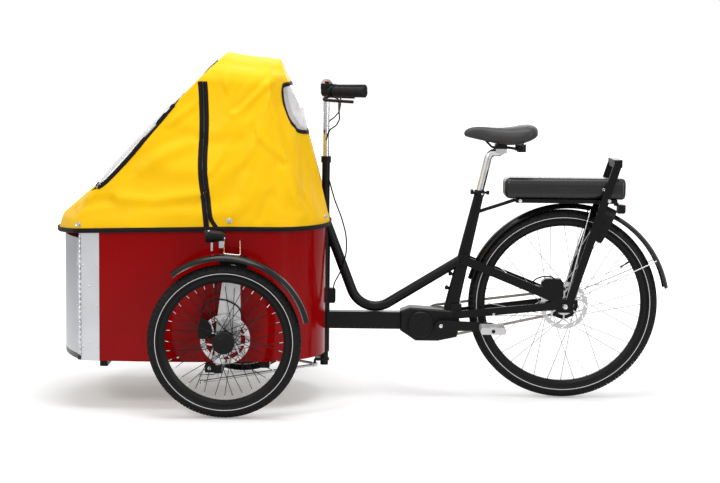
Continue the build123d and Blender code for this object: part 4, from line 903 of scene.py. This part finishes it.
def crease_rise(station, height, strokes):
    """Sum of the rises of all strokes at a place on the side panel."""
    total = 0.0
    spot = Vector((station, height))
    for line, rise, width in strokes:
        best = None
        for first, last in zip(line, line[1:]):
            first, last = Vector(first), Vector(last)
            run = last - first
            share = clamped((spot - first).dot(run) / run.length_squared)
            gap = spot - (first + run * share)
            sign = 1.0 if gap.cross(run) > 0 else -1.0
            if best is None or gap.length < abs(best):
                best = gap.length * sign
        near = best / width
        total += rise * (bell_base ** (-near * near)
                         - 0.55 * bell_base ** (-(near - 1.5) ** 2))
    return total


shifted = [([(s + 0.021, z - 0.013) for s, z in line], rise * 0.8, width * 1.1)
           for line, rise, width in creases]
heights = hood_cloth.data.attributes["height"].data
for vert, nominal in zip(hood_cloth.data.vertices, heights):
    fade = clamped((vert.co.z - 0.60) / 0.03)
    fade *= clamped(abs(vert.co.y) / 0.08 - 0.6) * clamped((1.10 - nominal.value) / 0.03)
    strokes = creases if vert.co.y < 0 else shifted
    rise = crease_rise(vert.co.x - front_axle_x, vert.co.z, strokes)
    vert.co += vert.normal * rise * fade
print("creases:", len(creases), "on each side")

# %% [markdown]
# ## Windows
#
# The two windows are clear vinyl welded into the cloth. Faces whose middle lies inside a
# window's outline leave the cloth and become a pane of their own, pushed out a few
# millimetres at the middle, as soft vinyl bows. The black binding covers the cut edge.

# %% Clear vinyl
clear_vinyl, tree, shader = new_material("clear_vinyl")
ripple = use_group(tree, grain, Fine=26.0, Broad=9.0, Patchiness=1.0)
# The panes' whitish, half-opaque colour is partly the vinyl's own haze and partly a painted
# reflection of the white studio.
haze_and_painted_reflection, rough = (math_node(tree, "MULTIPLY", ripple["Patches"], share) for share in (0.24, 0.12))
feed(shader, {"Base Color": (0.90, 0.90, 0.93, 1.0), "Coat Weight": 0.6,
              "Alpha": math_node(tree, "ADD", haze_and_painted_reflection, 0.44),
              "Roughness": math_node(tree, "ADD", rough, 0.05)})
add_bump(tree, ripple["Height"], 0.2, 0.004)
print("vinyl made")

# %% Window outlines, as shares of the way round and heights
front_edge = [(0.716, 0.242), (0.722, 0.256), (0.738, 0.262), (0.770, 0.264), (0.810, 0.264),
              (0.852, 0.262), (0.910, 0.258), (0.969, 0.254), (1.004, 0.248), (1.018, 0.225)]
rear_edge = [(0.897, 0.990), (0.899, 0.930), (0.906, 0.863), (0.918, 0.836), (0.933, 0.818),
             (0.960, 0.799), (1.005, 0.795), (1.040, 0.798), (1.055, 0.808), (1.060, 0.840)]


def edge_at(edge, height):
    """Share of the way round at which a window's edge lies at a height."""
    for (low, first), (high, last) in zip(edge, edge[1:]):
        if low <= height <= high:
            return first + (last - first) * (height - low) / (high - low)
    return None


def in_window(edge, forward, share, height):
    """True where a place lies inside a window that reaches forward or back from its edge."""
    limit = edge_at(edge, height)
    if limit is None:
        return False
    return share < limit if forward else share > limit


print("front window", in_window(front_edge, True, 0.1, 0.85))


# %% Cut the panes out of the cloth
rim_width, bow_reach = 0.010, 0.06


def plan_of(bm):
    """Function that gives a face's middle as a share and a height."""
    share, height = (bm.verts.layers.float[label] for label in ("share", "height"))

    def middle(face):
        count = len(face.verts)
        return (sum(v[share] for v in face.verts) / count,
                sum(v[height] for v in face.verts) / count)
    return middle


def cut_pane(name, edge, forward, bow):
    """Moves the cloth's faces inside an outline to a pane and returns the pane."""
    source = bmesh.new()
    source.from_mesh(hood_cloth.data)
    middle = plan_of(source)
    gone = [f for f in source.faces if in_window(edge, forward, *middle(f))]
    pane_bm = source.copy()
    middle = plan_of(pane_bm)
    stay = [f for f in pane_bm.faces if not in_window(edge, forward, *middle(f))]
    bmesh.ops.delete(source, geom=gone, context="FACES")
    source.to_mesh(hood_cloth.data)
    source.free()
    bmesh.ops.delete(pane_bm, geom=stay, context="FACES")
    rim_places = [v.co.copy() for v in pane_bm.verts if v.is_boundary]
    for vert in pane_bm.verts:
        if not vert.is_boundary:
            near = min((vert.co - place).length for place in rim_places[::4])
            vert.co += vert.normal * bow * min(1.0, max(0.0, near - rim_width) / bow_reach)
    pane = piece(pane_bm, name, "frame", clear_vinyl, slot="clear_vinyl", outward=False)
    print(name, "faces", len(pane.data.polygons))
    return pane


whole_cloth = bmesh.new()
whole_cloth.from_mesh(hood_cloth.data)
front_pane = cut_pane("front_pane", front_edge, True, 0.008)
rear_pane = cut_pane("rear_pane", rear_edge, False, 0.003)

# %% [markdown]
# ## Bindings and zip tapes
#
# A binding is a woven tape folded over an edge. Each one here is a ribbon that follows a line
# of points on the cloth. For each point, the nearest place on the cloth gives the
# surface's own normal, and the ribbon's two sides are snapped to the cloth again, so that it
# hugs every sag. Solidify gives it the thickness of tape.

# %% Ribbon that hugs the cloth
bmesh.ops.triangulate(whole_cloth, faces=whole_cloth.faces)
hood_surface = BVHTree.FromBMesh(whole_cloth)
share_layer, height_layer = (whole_cloth.verts.layers.float[label]
                             for label in ("share", "height"))
flat_places, true_places, flat_triangles = [], [], []
for face in whole_cloth.faces:
    side = -1 if face.calc_center_median().y > 0 else 1
    flat_triangles.append(tuple(range(len(flat_places), len(flat_places) + 3)))
    for vert in face.verts:
        flat_places.append(Vector((vert[share_layer] * side, vert[height_layer], 0.0)))
        true_places.append(vert.co.copy())
whole_cloth.free()
flat_cloth = BVHTree.FromPolygons(flat_places, flat_triangles)


def on_cloth(share, height):
    """Place on the cloth at a share of the way round, negative on the right, and a height."""
    spot, _, index, _ = flat_cloth.find_nearest(Vector((share, height, 0.0)))
    corners = flat_triangles[index]
    return barycentric_transform(spot, *(flat_places[k] for k in corners),
                                 *(true_places[k] for k in corners))


def window_line(edge, middle):
    """Closed line round a window; middle is the share at its middle, 0 in front or 1 behind."""
    left = [(share, height) for height, share in edge]
    steps = []
    for first, last in zip([(middle, left[0][1]), *left], [*left, (middle, left[-1][1])]):
        count = max(1, round(max(abs(last[0] - first[0]) / 0.01, abs(last[1] - first[1]) / 0.01)))
        steps += [(first[0] + (last[0] - first[0]) * k / count,
                   first[1] + (last[1] - first[1]) * k / count) for k in range(count)]
    near = [on_cloth(share, height) for share, height in steps]
    far = [on_cloth(-share, height) for share, height in reversed(steps[1:])]
    return near + far


def even_points(points, step, closed=False):
    """Points at an even step along a line."""
    line = [Vector(p) for p in points]
    if closed:
        line.append(line[0].copy())
    total = sum((b - a).length for a, b in zip(line, line[1:]))
    count = max(2, round(total / step))
    made, walked, index = [], 0.0, 0
    for number in range(count + (0 if closed else 1)):
        target = total * number / count
        while index < len(line) - 2 and walked + (line[index + 1] - line[index]).length < target:
            walked += (line[index + 1] - line[index]).length
            index += 1
        run = line[index + 1] - line[index]
        share = 0 if run.length == 0 else min(1.0, (target - walked) / run.length)
        made.append(line[index] + run * share)
    return made


def thicken(obj, thickness):
    """Live thickness, half on each side of a sheet."""
    solid = obj.modifiers.new("thickness", "SOLIDIFY")
    solid.thickness = thickness
    solid.offset = 0.0


def ribbon(name, points, width, lift, material, slot, closed=False, thickness=0.0014,
           step=0.010, relax=2):
    """Tape of a width that hugs the cloth along a line of points."""
    line = even_points(points, step, closed)
    for _ in range(relax):
        count = len(line)
        fresh = []
        for i in range(count):
            if not closed and i in (0, count - 1):
                fresh.append(line[i])
            else:
                fresh.append((line[i - 1] + line[i] * 2 + line[(i + 1) % count]) / 4)
        line = fresh
    bm = bmesh.new()
    sides = ([], [], [])
    for i, point in enumerate(line):
        ahead = line[(i + 1) % len(line)] if closed or i < len(line) - 1 else point
        back = line[i - 1] if closed or i > 0 else point
        tangent = (ahead - back).normalized()
        place, normal, _, _ = hood_surface.find_nearest(point)
        across = tangent.cross(normal).normalized()
        for side, offset in zip(sides, (-0.5, 0.0, 0.5)):
            spot, facing, _, _ = hood_surface.find_nearest(place + across * width * offset)
            if (spot - place).length < width * 0.3 and offset:
                spot, facing = place + across * width * offset, normal
            if facing.dot(normal) < 0:
                facing = -facing
            side.append(bm.verts.new(spot + facing * lift))
    for left, right in zip(sides, sides[1:]):
        spans = list(zip(left, left[1:], right[1:], right))
        if closed:
            spans.append((left[-1], left[0], right[0], right[-1]))
        for quad in spans:
            bm.faces.new(quad)
    tape = piece(bm, name, "frame", material, slot=slot, outward=False)
    thicken(tape, thickness)
    return tape


front_binding, rear_binding = (
    ribbon(f"{name}_window_binding", window_line(edge, middle), width, 0.0014, webbing,
           "grip_rubber", closed=True, step=0.008, relax=4)
    for name, edge, middle, width in (("front", front_edge, 0.0, 0.014),
                                      ("rear", rear_edge, 1.0, 0.013)))
print("bindings", front_binding.name, rear_binding.name)

# %% [markdown]
# ## Hem
#
# The hem is bound in the same tape, folded round the lower edge. Its line is the cloth's own
# lower edge, so each section of the fold is placed from that edge: out, down and back in.

# %% Fold the hem tape round the lower edge
edge_bm = bmesh.new()
edge_bm.from_mesh(hood_cloth.data)
hem_top, centre_x = 0.5925, front_axle_x - 0.1
hem_line = [v.co.copy() for v in edge_bm.verts if v.is_boundary and v.co.z < hem_top
            and not (v.co.x > slot_front and abs(v.co.y) < slot_half + 0.004)]
hem_line.sort(key=lambda place: atan2(place.y, place.x - centre_x))
edge_bm.free()
fold = [(-0.0022, 0.013), (-0.0026, 0.002), (0.0, -0.0010), (0.0028, 0.0015),
        (0.0030, 0.0140), (0.0012, 0.0145)]
bm = bmesh.new()
sections = []
for i, place in enumerate(hem_line):
    ahead = hem_line[min(i + 1, len(hem_line) - 1)]
    back = hem_line[max(i - 1, 0)]
    tangent = (ahead - back).normalized()
    out = tangent.cross(Vector((0, 0, 1))).normalized()
    sections.append([bm.verts.new(place + out * a + Vector((0, 0, b))) for a, b in fold])
for first, second in zip(sections, sections[1:]):
    for k in range(len(first)):
        quad = (first[k], second[k], second[(k + 1) % len(first)], first[(k + 1) % len(first)])
        bm.faces.new(quad)
for end in (sections[0], sections[-1]):
    bm.faces.new(end)
hem = piece(bm, "hem_binding", "frame", webbing, slot="grip_rubber")
print("hem points", len(hem_line))

# %% [markdown]
# ## Zips
#
# A zip on each side lets the front half of the side panel open. It is a pair of black tapes
# with a raised coil between them. The line of the zip wanders a little where the cloth pulls
# it, and the rear tape leaves it at the bottom.

# %% Lay the tapes and the coil
zip_line = [(-0.090, 1.066), (-0.087, 1.038), (-0.085, 1.005), (-0.082, 0.950), (-0.081, 0.900),
            (-0.083, 0.850), (-0.083, 0.800), (-0.080, 0.755), (-0.073, 0.705), (-0.067, 0.660),
            (-0.062, 0.625), (-0.060, 0.598)]
spread_below = 0.612


def on_side(station, height, side):
    """Place on the cloth's side panel at a distance behind the front axle and a height."""
    start = Vector((front_axle_x + station, side * 1.2, height))
    hit = hood_surface.ray_cast(start, Vector((0, -side, 0)))[0]
    return hit if hit else Vector((front_axle_x + station, side * 0.3, height))


for side, name in both_sides:
    for shift, part in ((-1, "front"), (1, "rear")):
        line = [on_side(s + shift * (0.0085 + 1.3 * max(0.0, spread_below - z) * (shift > 0)),
                        z, side) for s, z in zip_line]
        ribbon(f"zip_tape_{part}_{name}", line, 0.0135, 0.0012, webbing,
                                 "grip_rubber")
    line = [on_side(s, z, side) for s, z in zip_line]
    ribbon(f"zip_coil_{name}", line, 0.0050, 0.0022, gloss_plastic,
                             "plastic_black", thickness=0.0030)
strap_line = [on_cloth(0.012, 1.085 + 0.008 * step) for step in range(7)]
ribbon("roof_strap", strap_line, 0.028, 0.0030, webbing, "grip_rubber",
                         thickness=0.0032, step=0.008)

# %% [markdown]
# ## Turn buttons
#
# The hood is held down by turn buttons: an oval eyelet plate in the cloth and a
# small wing on a post that turns across it. A bevelled disc with a raised rim and a
# wing is enough at this size.


# %% Make the buttons and place them round the hem
def turn_button(name, place, out):
    """Eyelet plate with a wing on a post, standing out of the cloth."""
    bm = bmesh.new()
    turn = out.to_track_quat("Z", "Y").to_matrix().to_4x4()

    def above(height):
        return place + turn.to_3x3() @ Vector((0, 0, height))
    profile = ((0.0098, -0.001), (0.0098, 0.0012), (0.0085, 0.0020), (0.0066, 0.0012),
               (0.0050, 0.0012), (0.0048, 0.0042), (0.0036, 0.0050))
    loft(bm, [ring(bm, above(height), turn, (radius, radius * 0.86), 20)
              for radius, height in profile])
    box_at(bm, above(0.0062), (0.0030, 0.0115, 0.0030), turn)
    return add_bevel(piece(bm, name, "frame", bright_steel, slot="steel_bright"), 0.0005)


button_spots = ((-0.480, 0.604), (0.006, 0.622), (0.310, 0.622))
for number, (station, height) in enumerate(button_spots):
    for side, name in both_sides:
        spot = on_side(station, height, side)
        place, normal, _, _ = hood_surface.find_nearest(spot)
        out = normal if normal.y * side > 0 else -normal
        turn_button(f"turn_button_{name}_{number}", place + out * 0.0010, out)
print("buttons placed")

thicken(hood_cloth, 0.0012)
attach(hood_cloth, "frame")
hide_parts("hood", "hood_windows")

# %% [markdown]
# ## Saddle
#
# A comfort saddle is a wide, crowned pad on a hard shell: narrow at the nose, swelling to the
# sit bones, with a shallow groove down the middle and a welt where the cover meets the shell.
# It is lofted through rings across the bike. Each ring is an ellipse whose lower half is
# pressed flat, because the pad rests on its shell there.

# %% Loft the pad
saddle_low, saddle_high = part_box("saddle")
saddle_rings = [
    (-0.2485, 0.010, 0.903, 0.895), (-0.2440, 0.017, 0.912, 0.888),
    (-0.2280, 0.021, 0.921, 0.884), (-0.1980, 0.025, 0.9245, 0.878),
    (-0.1630, 0.032, 0.922, 0.870), (-0.1330, 0.047, 0.9205, 0.864),
    (-0.1030, 0.066, 0.9215, 0.860), (-0.0730, 0.081, 0.9270, 0.862),
    (-0.0430, 0.0905, 0.9325, 0.870), (-0.0200, 0.086, 0.9320, 0.880),
    (-0.0070, 0.066, 0.9240, 0.889), (-0.0015, 0.036, 0.9150, 0.896),
]


def saddle_ring(bm, x, half, top, bottom, segments=28):
    """One section across the saddle, crowned above and flat below, with a middle groove."""
    made = bmesh.ops.create_circle(bm, segments=segments, radius=1.0)["verts"]
    middle = bottom + (top - bottom) * 0.42
    for number, vert in enumerate(made):
        angle = 2 * pi * number / segments
        side, up = cos(angle), sin(angle)
        y = half * (1 if side >= 0 else -1) * abs(side) ** 0.8
        if up >= 0:
            groove = 0.0035 * max(0.0, 1 - abs(y) / 0.016) * min(1.0, half / 0.06)
            z = middle + (top - middle) * up ** 0.75 - groove
        else:
            z = middle - (middle - bottom) * abs(up) ** 0.45
        vert.co = (x, y, z)
    return made


bm = bmesh.new()
loft(bm, [saddle_ring(bm, saddle_high.x + x, half, top, bottom)
          for x, half, top, bottom in saddle_rings])
saddle_pad = piece(bm, "saddle_pad", "frame", slot="saddle_cover", replaces=("saddle",))
add_subdivision(saddle_pad, 2)
keep_mesh(saddle_pad)
print("saddle pad", [round(c, 3) for c in saddle_high - saddle_low])

# %% Cover of the saddle: soft black vinyl with a fine leather grain
saddle_vinyl = finish("saddle_vinyl", (0.020, 0.020, 0.021), 0.48, fine=900.0, bump=0.35,
                      bump_distance=0.0004, colour_shift=0.2, specular=0.45)
saddle_pad.data.materials.append(saddle_vinyl)
print("saddle cover", saddle_vinyl.name)

# %% [markdown]
# ## Small parts
#
# Rivets, screw heads, caps and lenses are turned parts: a short profile spun about the line
# that points straight out of the surface. A ray cast against the solid gives the place and
# that line, so a part sits where the solid really is. Parts of one kind on one body
# are made as one piece.


# %% Find places on the solids and turn parts on them
solid_surfaces = {}


def on_solid(name, start, direction):
    """First place and outward normal where a ray meets a solid."""
    if name not in solid_surfaces:
        bm = bmesh.new()
        bm.from_mesh(nodes[name].data)
        bmesh.ops.transform(bm, matrix=nodes[name].matrix_world, verts=bm.verts)
        solid_surfaces[name] = BVHTree.FromBMesh(bm)
        bm.free()
    place, normal, _, _ = solid_surfaces[name].ray_cast(Vector(start), Vector(direction))
    if place is None:
        print("no surface of", name, "at", [round(c, 3) for c in start])
        return None
    return place, normal if normal.dot(Vector(direction)) < 0 else -normal


def beside(name, x, z, side=-1):
    """Place on a solid's side face, seen from the left or the right."""
    return on_solid(name, (x, side * 1.2, z), (0, -side, 0))


def turned_parts(name, body, spots, profile, material=bright_steel, slot="steel_bright",
                 steps=18):
    """One piece of like turned parts at places with their normals."""
    bm = bmesh.new()
    for spot in spots:
        if spot:
            place, normal = spot
            turned_profile(bm, profile, place, steps, axis=normal,
                           out=normal.orthogonal().normalized())
    piece(bm, name, body, material, slot=slot)


def rivet(radius, rise):
    """Profile of a domed head."""
    return [(0.0, rise), (radius * 0.55, rise * 0.86), (radius * 0.9, rise * 0.45),
            (radius, -0.0004), (0.0, -0.0004)]


def screw(radius, rise):
    """Profile of a cap screw with its socket."""
    return [(0.0, rise * 0.45), (radius * 0.5, rise * 0.45), (radius * 0.52, rise * 0.96),
            (radius * 0.88, rise), (radius, rise * 0.8), (radius, -0.0008), (0.0, -0.0008)]


strip_spots = [(-0.919, 0.472), (-0.919, 0.334), (-0.919, 0.205), (-0.899, 0.404),
               (-0.898, 0.218), (-0.876, 0.473), (-0.873, 0.338), (-0.872, 0.202)]
turned_parts("strip_rivets", "frame",
             [beside("corner_strips", x, z, side) for side in (-1, 1) for x, z in strip_spots],
             rivet(0.0034, 0.0014))
turned_parts("door_rivets", "door",
             [beside("door_panel", -0.942, z) for z in (0.472, 0.338, 0.218)],
             rivet(0.0034, 0.0014))
print("rivets placed")

# %% [markdown]
# ## Door hinge
#
# A piano hinge runs down the near edge of the door: a pin with short knuckles and dark gaps.

# %% Turn the hinge
bm = bmesh.new()
edge_spot, _ = beside("corner_strips", -0.927, 0.4)
profile, height, hinge_top, knuckle_step = [], 0.176, 0.560, 0.0165
while height < hinge_top:
    profile += [(0.0011, height), (0.0027, height + 0.0006), (0.0027, height + 0.0150),
                (0.0011, height + 0.0156)]
    height += knuckle_step
profile = [(0.0, profile[0][1]), *profile, (0.0, profile[-1][1])]
turned_profile(bm, profile, (edge_spot.x - 0.002, edge_spot.y - 0.0005, 0.0), 10,
               axis=(0, 0, 1))
hinge = piece(bm, "door_hinge_pin", "frame", sheet_aluminium, slot="steel_bright")
print("hinge faces", len(hinge.data.polygons))

# %% [markdown]
# ## Lamps
#
# Each head lamp gets a black ring, a pale lens, two bolts and the tab that it hangs on. The
# tail lamp gets its red lens.

# %% Head lamp and tail lamp parts
lamp_lens = finish("lamp_lens", (0.62, 0.64, 0.66), 0.08, coat=0.6, fine=240.0, bump=0.3,
                   bump_distance=0.001)
lamp_low, lamp_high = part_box("head_lamps")
lamp_turn = Vector((-0.988, 0, -0.154)).normalized()
for side, name in both_sides:
    middle = Vector((lamp_low.x + 0.0045, side * (lamp_high.y - 0.0215), 0.5785))
    spot = on_solid("head_lamps", middle - Vector((0.3, 0, 0)), (1, 0, 0))
    front = spot[0] if spot else middle
    front = Vector((front.x, middle.y, middle.z))
    turned_parts(f"head_lamp_ring_{name}", "frame", [(front, lamp_turn)],
                 [(0.0175, 0.0004), (0.0180, 0.0016), (0.0200, 0.0016), (0.0208, 0.0),
                  (0.0200, -0.0030), (0.0175, -0.0030)], black_plastic, "plastic_black", 32)
    turned_parts(f"head_lamp_lens_{name}", "frame", [(front, lamp_turn)],
                 [(0.0, 0.0012), (0.0080, 0.0011), (0.0140, 0.0008), (0.0178, 0.0002),
                  (0.0178, -0.0020), (0.0, -0.0020)], lamp_lens, "clear_vinyl", 32)
    turned_parts(f"head_lamp_bolts_{name}", "frame",
                 [beside("head_lamps", x, z, side) for x, z in ((-0.4555, 0.5735),
                                                                (-0.505, 0.5955))],
                 screw(0.0032, 0.0020))
bm = bmesh.new()
for side in (-1, 1):
    for (x, y, z), size in (((-0.4655, 0.362, 0.5515), (0.0170, 0.0024, 0.0230)),
                            ((-0.4655, 0.355, 0.5600), (0.0050, 0.0140, 0.0050)),
                            ((-0.4965, 0.360, 0.5440), (0.0070, 0.0070, 0.0280))):
        box_at(bm, (x, side * y, z), size)
add_bevel(piece(bm, "head_lamp_tabs", "frame", bright_steel, slot="steel_bright", smooth=False),
          0.0006)
bm = bmesh.new()
tail_low, tail_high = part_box("tail_lamp")
middle, size = (tail_low + tail_high) / 2, tail_high - tail_low
box_at(bm, (tail_high.x - 0.0018, middle.y, middle.z), (0.006, size.y * 0.84, size.z * 0.74))
tail_lens = add_bevel(piece(bm, "tail_lamp_lens", "frame", red_lens, slot="lamp_red"), 0.0022, 3)
print("lamps dressed", tail_lens.name)

# %% [markdown]
# ## Screws, caps and knobs
#
# Bright screws show at the rear dropouts, on the carrier hoop and under the battery. The front
# hubs carry round caps with a raised disc, and the crank has a bolt in its eye.

# %% Bright screws on the frame
frame_screws = [("rear_stays", 0.6838, 0.3418, 0.0060), ("rear_axle", 0.6670, 0.3240, 0.0075),
                ("rear_stays", 0.4297, 0.2899, 0.0045), ("carrier_hoop", 0.8072, 0.6810, 0.0060),
                ("battery_tray", 0.5117, 0.6765, 0.0060),
                ("battery", 0.7902, 0.7181, 0.0055), ("box_wall", -0.6109, 0.1760, 0.0045),
                ("seat_clamp", 0.3850, 0.6960, 0.0035), ("axle_frame", -0.5050, 0.1480, 0.0060)]
for kind in sorted({radius for _, _, _, radius in frame_screws}):
    spots = [beside(node, x, z, side) for node, x, z, radius in frame_screws if radius == kind
             for side in (-1, 1)]
    turned_parts(f"screws_{round(kind * 10000)}", "frame", spots, screw(kind, kind * 0.55))
print("screw kinds placed")

# %% Hub caps, crank bolts and valves
cap_profile = [(0.0, 0.0010), (0.0170, 0.0010), (0.0190, 0.0002), (0.0215, -0.0012),
               (0.0290, -0.0006), (0.0320, -0.0022), (0.0350, -0.0034), (0.0355, -0.0070),
               (0.0335, -0.0070), (0.0335, -0.0040), (0.0, -0.0006)]
for side, name in both_sides:
    low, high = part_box(f"knuckle_{name}")
    outer = high.y if side > 0 else low.y
    hub = joint_place(f"front_wheel_{name}_spin")
    cap_spot = (Vector((hub.x, outer, hub.z)), Vector((0, side, 0)))
    turned_parts(f"hub_cap_{name}", f"front_wheel_{name}", [cap_spot], cap_profile,
                 black_plastic, "wheel_black", 48)
turned_parts("crank_bolts", "crank", [beside("crank", crank_axle.x, crank_axle.z, side)
                                      for side in (-1, 1)],
             screw(0.0065, 0.0020))


def valve(name, body, hub, rim_radius, angle, y):
    """Valve stem that points from the rim towards the hub."""
    inward = Vector((-cos(radians(angle)), 0, -sin(radians(angle))))
    foot = Vector((hub.x, y, hub.z)) - inward * rim_radius
    turned_parts(name, body, [(foot, inward)],
                 [(0.0, -0.004), (0.0034, -0.004), (0.0034, 0.010), (0.0026, 0.012),
                  (0.0026, 0.022), (0.0034, 0.023), (0.0034, 0.031), (0.0, 0.032)],
                 black_plastic, "plastic_black", 10)


for side, name in both_sides:
    low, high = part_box(f"tyre_{name}")
    hub = joint_place(f"front_wheel_{name}_spin")
    valve(f"valve_{name}", f"front_wheel_{name}", hub, 0.1855, 98, (low.y + high.y) / 2)
valve("valve_rear", "rear_wheel", rear_hub, 0.2620, 33, 0.0)
print("caps, bolts and valves placed")

# %% Cable knobs on the seat tube and the red button on the bar
knob_spots = [on_solid("seat_tube", (-0.3, 0, z), (1, 0, 0)) for z in (0.420, 0.372)]
turned_parts("cable_knobs", "frame", knob_spots,
             [(0.0, 0.0150), (0.0050, 0.0140), (0.0080, 0.0100), (0.0075, 0.0055),
              (0.0050, 0.0030), (0.0050, -0.0010), (0.0, -0.0010)], rubber, "plastic_black")
button_low, button_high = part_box("bar_controls")
spot = on_solid("bar_controls", ((button_low.x + button_high.x) / 2, -0.210, 1.3), (0, 0, -1))
red_button = finish("red_button", (0.62, 0.015, 0.020), 0.35, fine=900.0, bump=0.05)
turned_parts("bar_button", "steering", [spot],
             [(0.0, 0.0034), (0.0040, 0.0030), (0.0062, 0.0016), (0.0066, -0.0010),
              (0.0, -0.0010)], red_button, "lamp_red")
print("knobs and button placed")

# %% [markdown]
# ## Size of the dressed bike
#
# The box round all the rendered pieces, without the floor, is taken at the end. The dressed
# bike has to stay inside the solids' box.

# %% Take the box of the dressed bike
low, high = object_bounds()
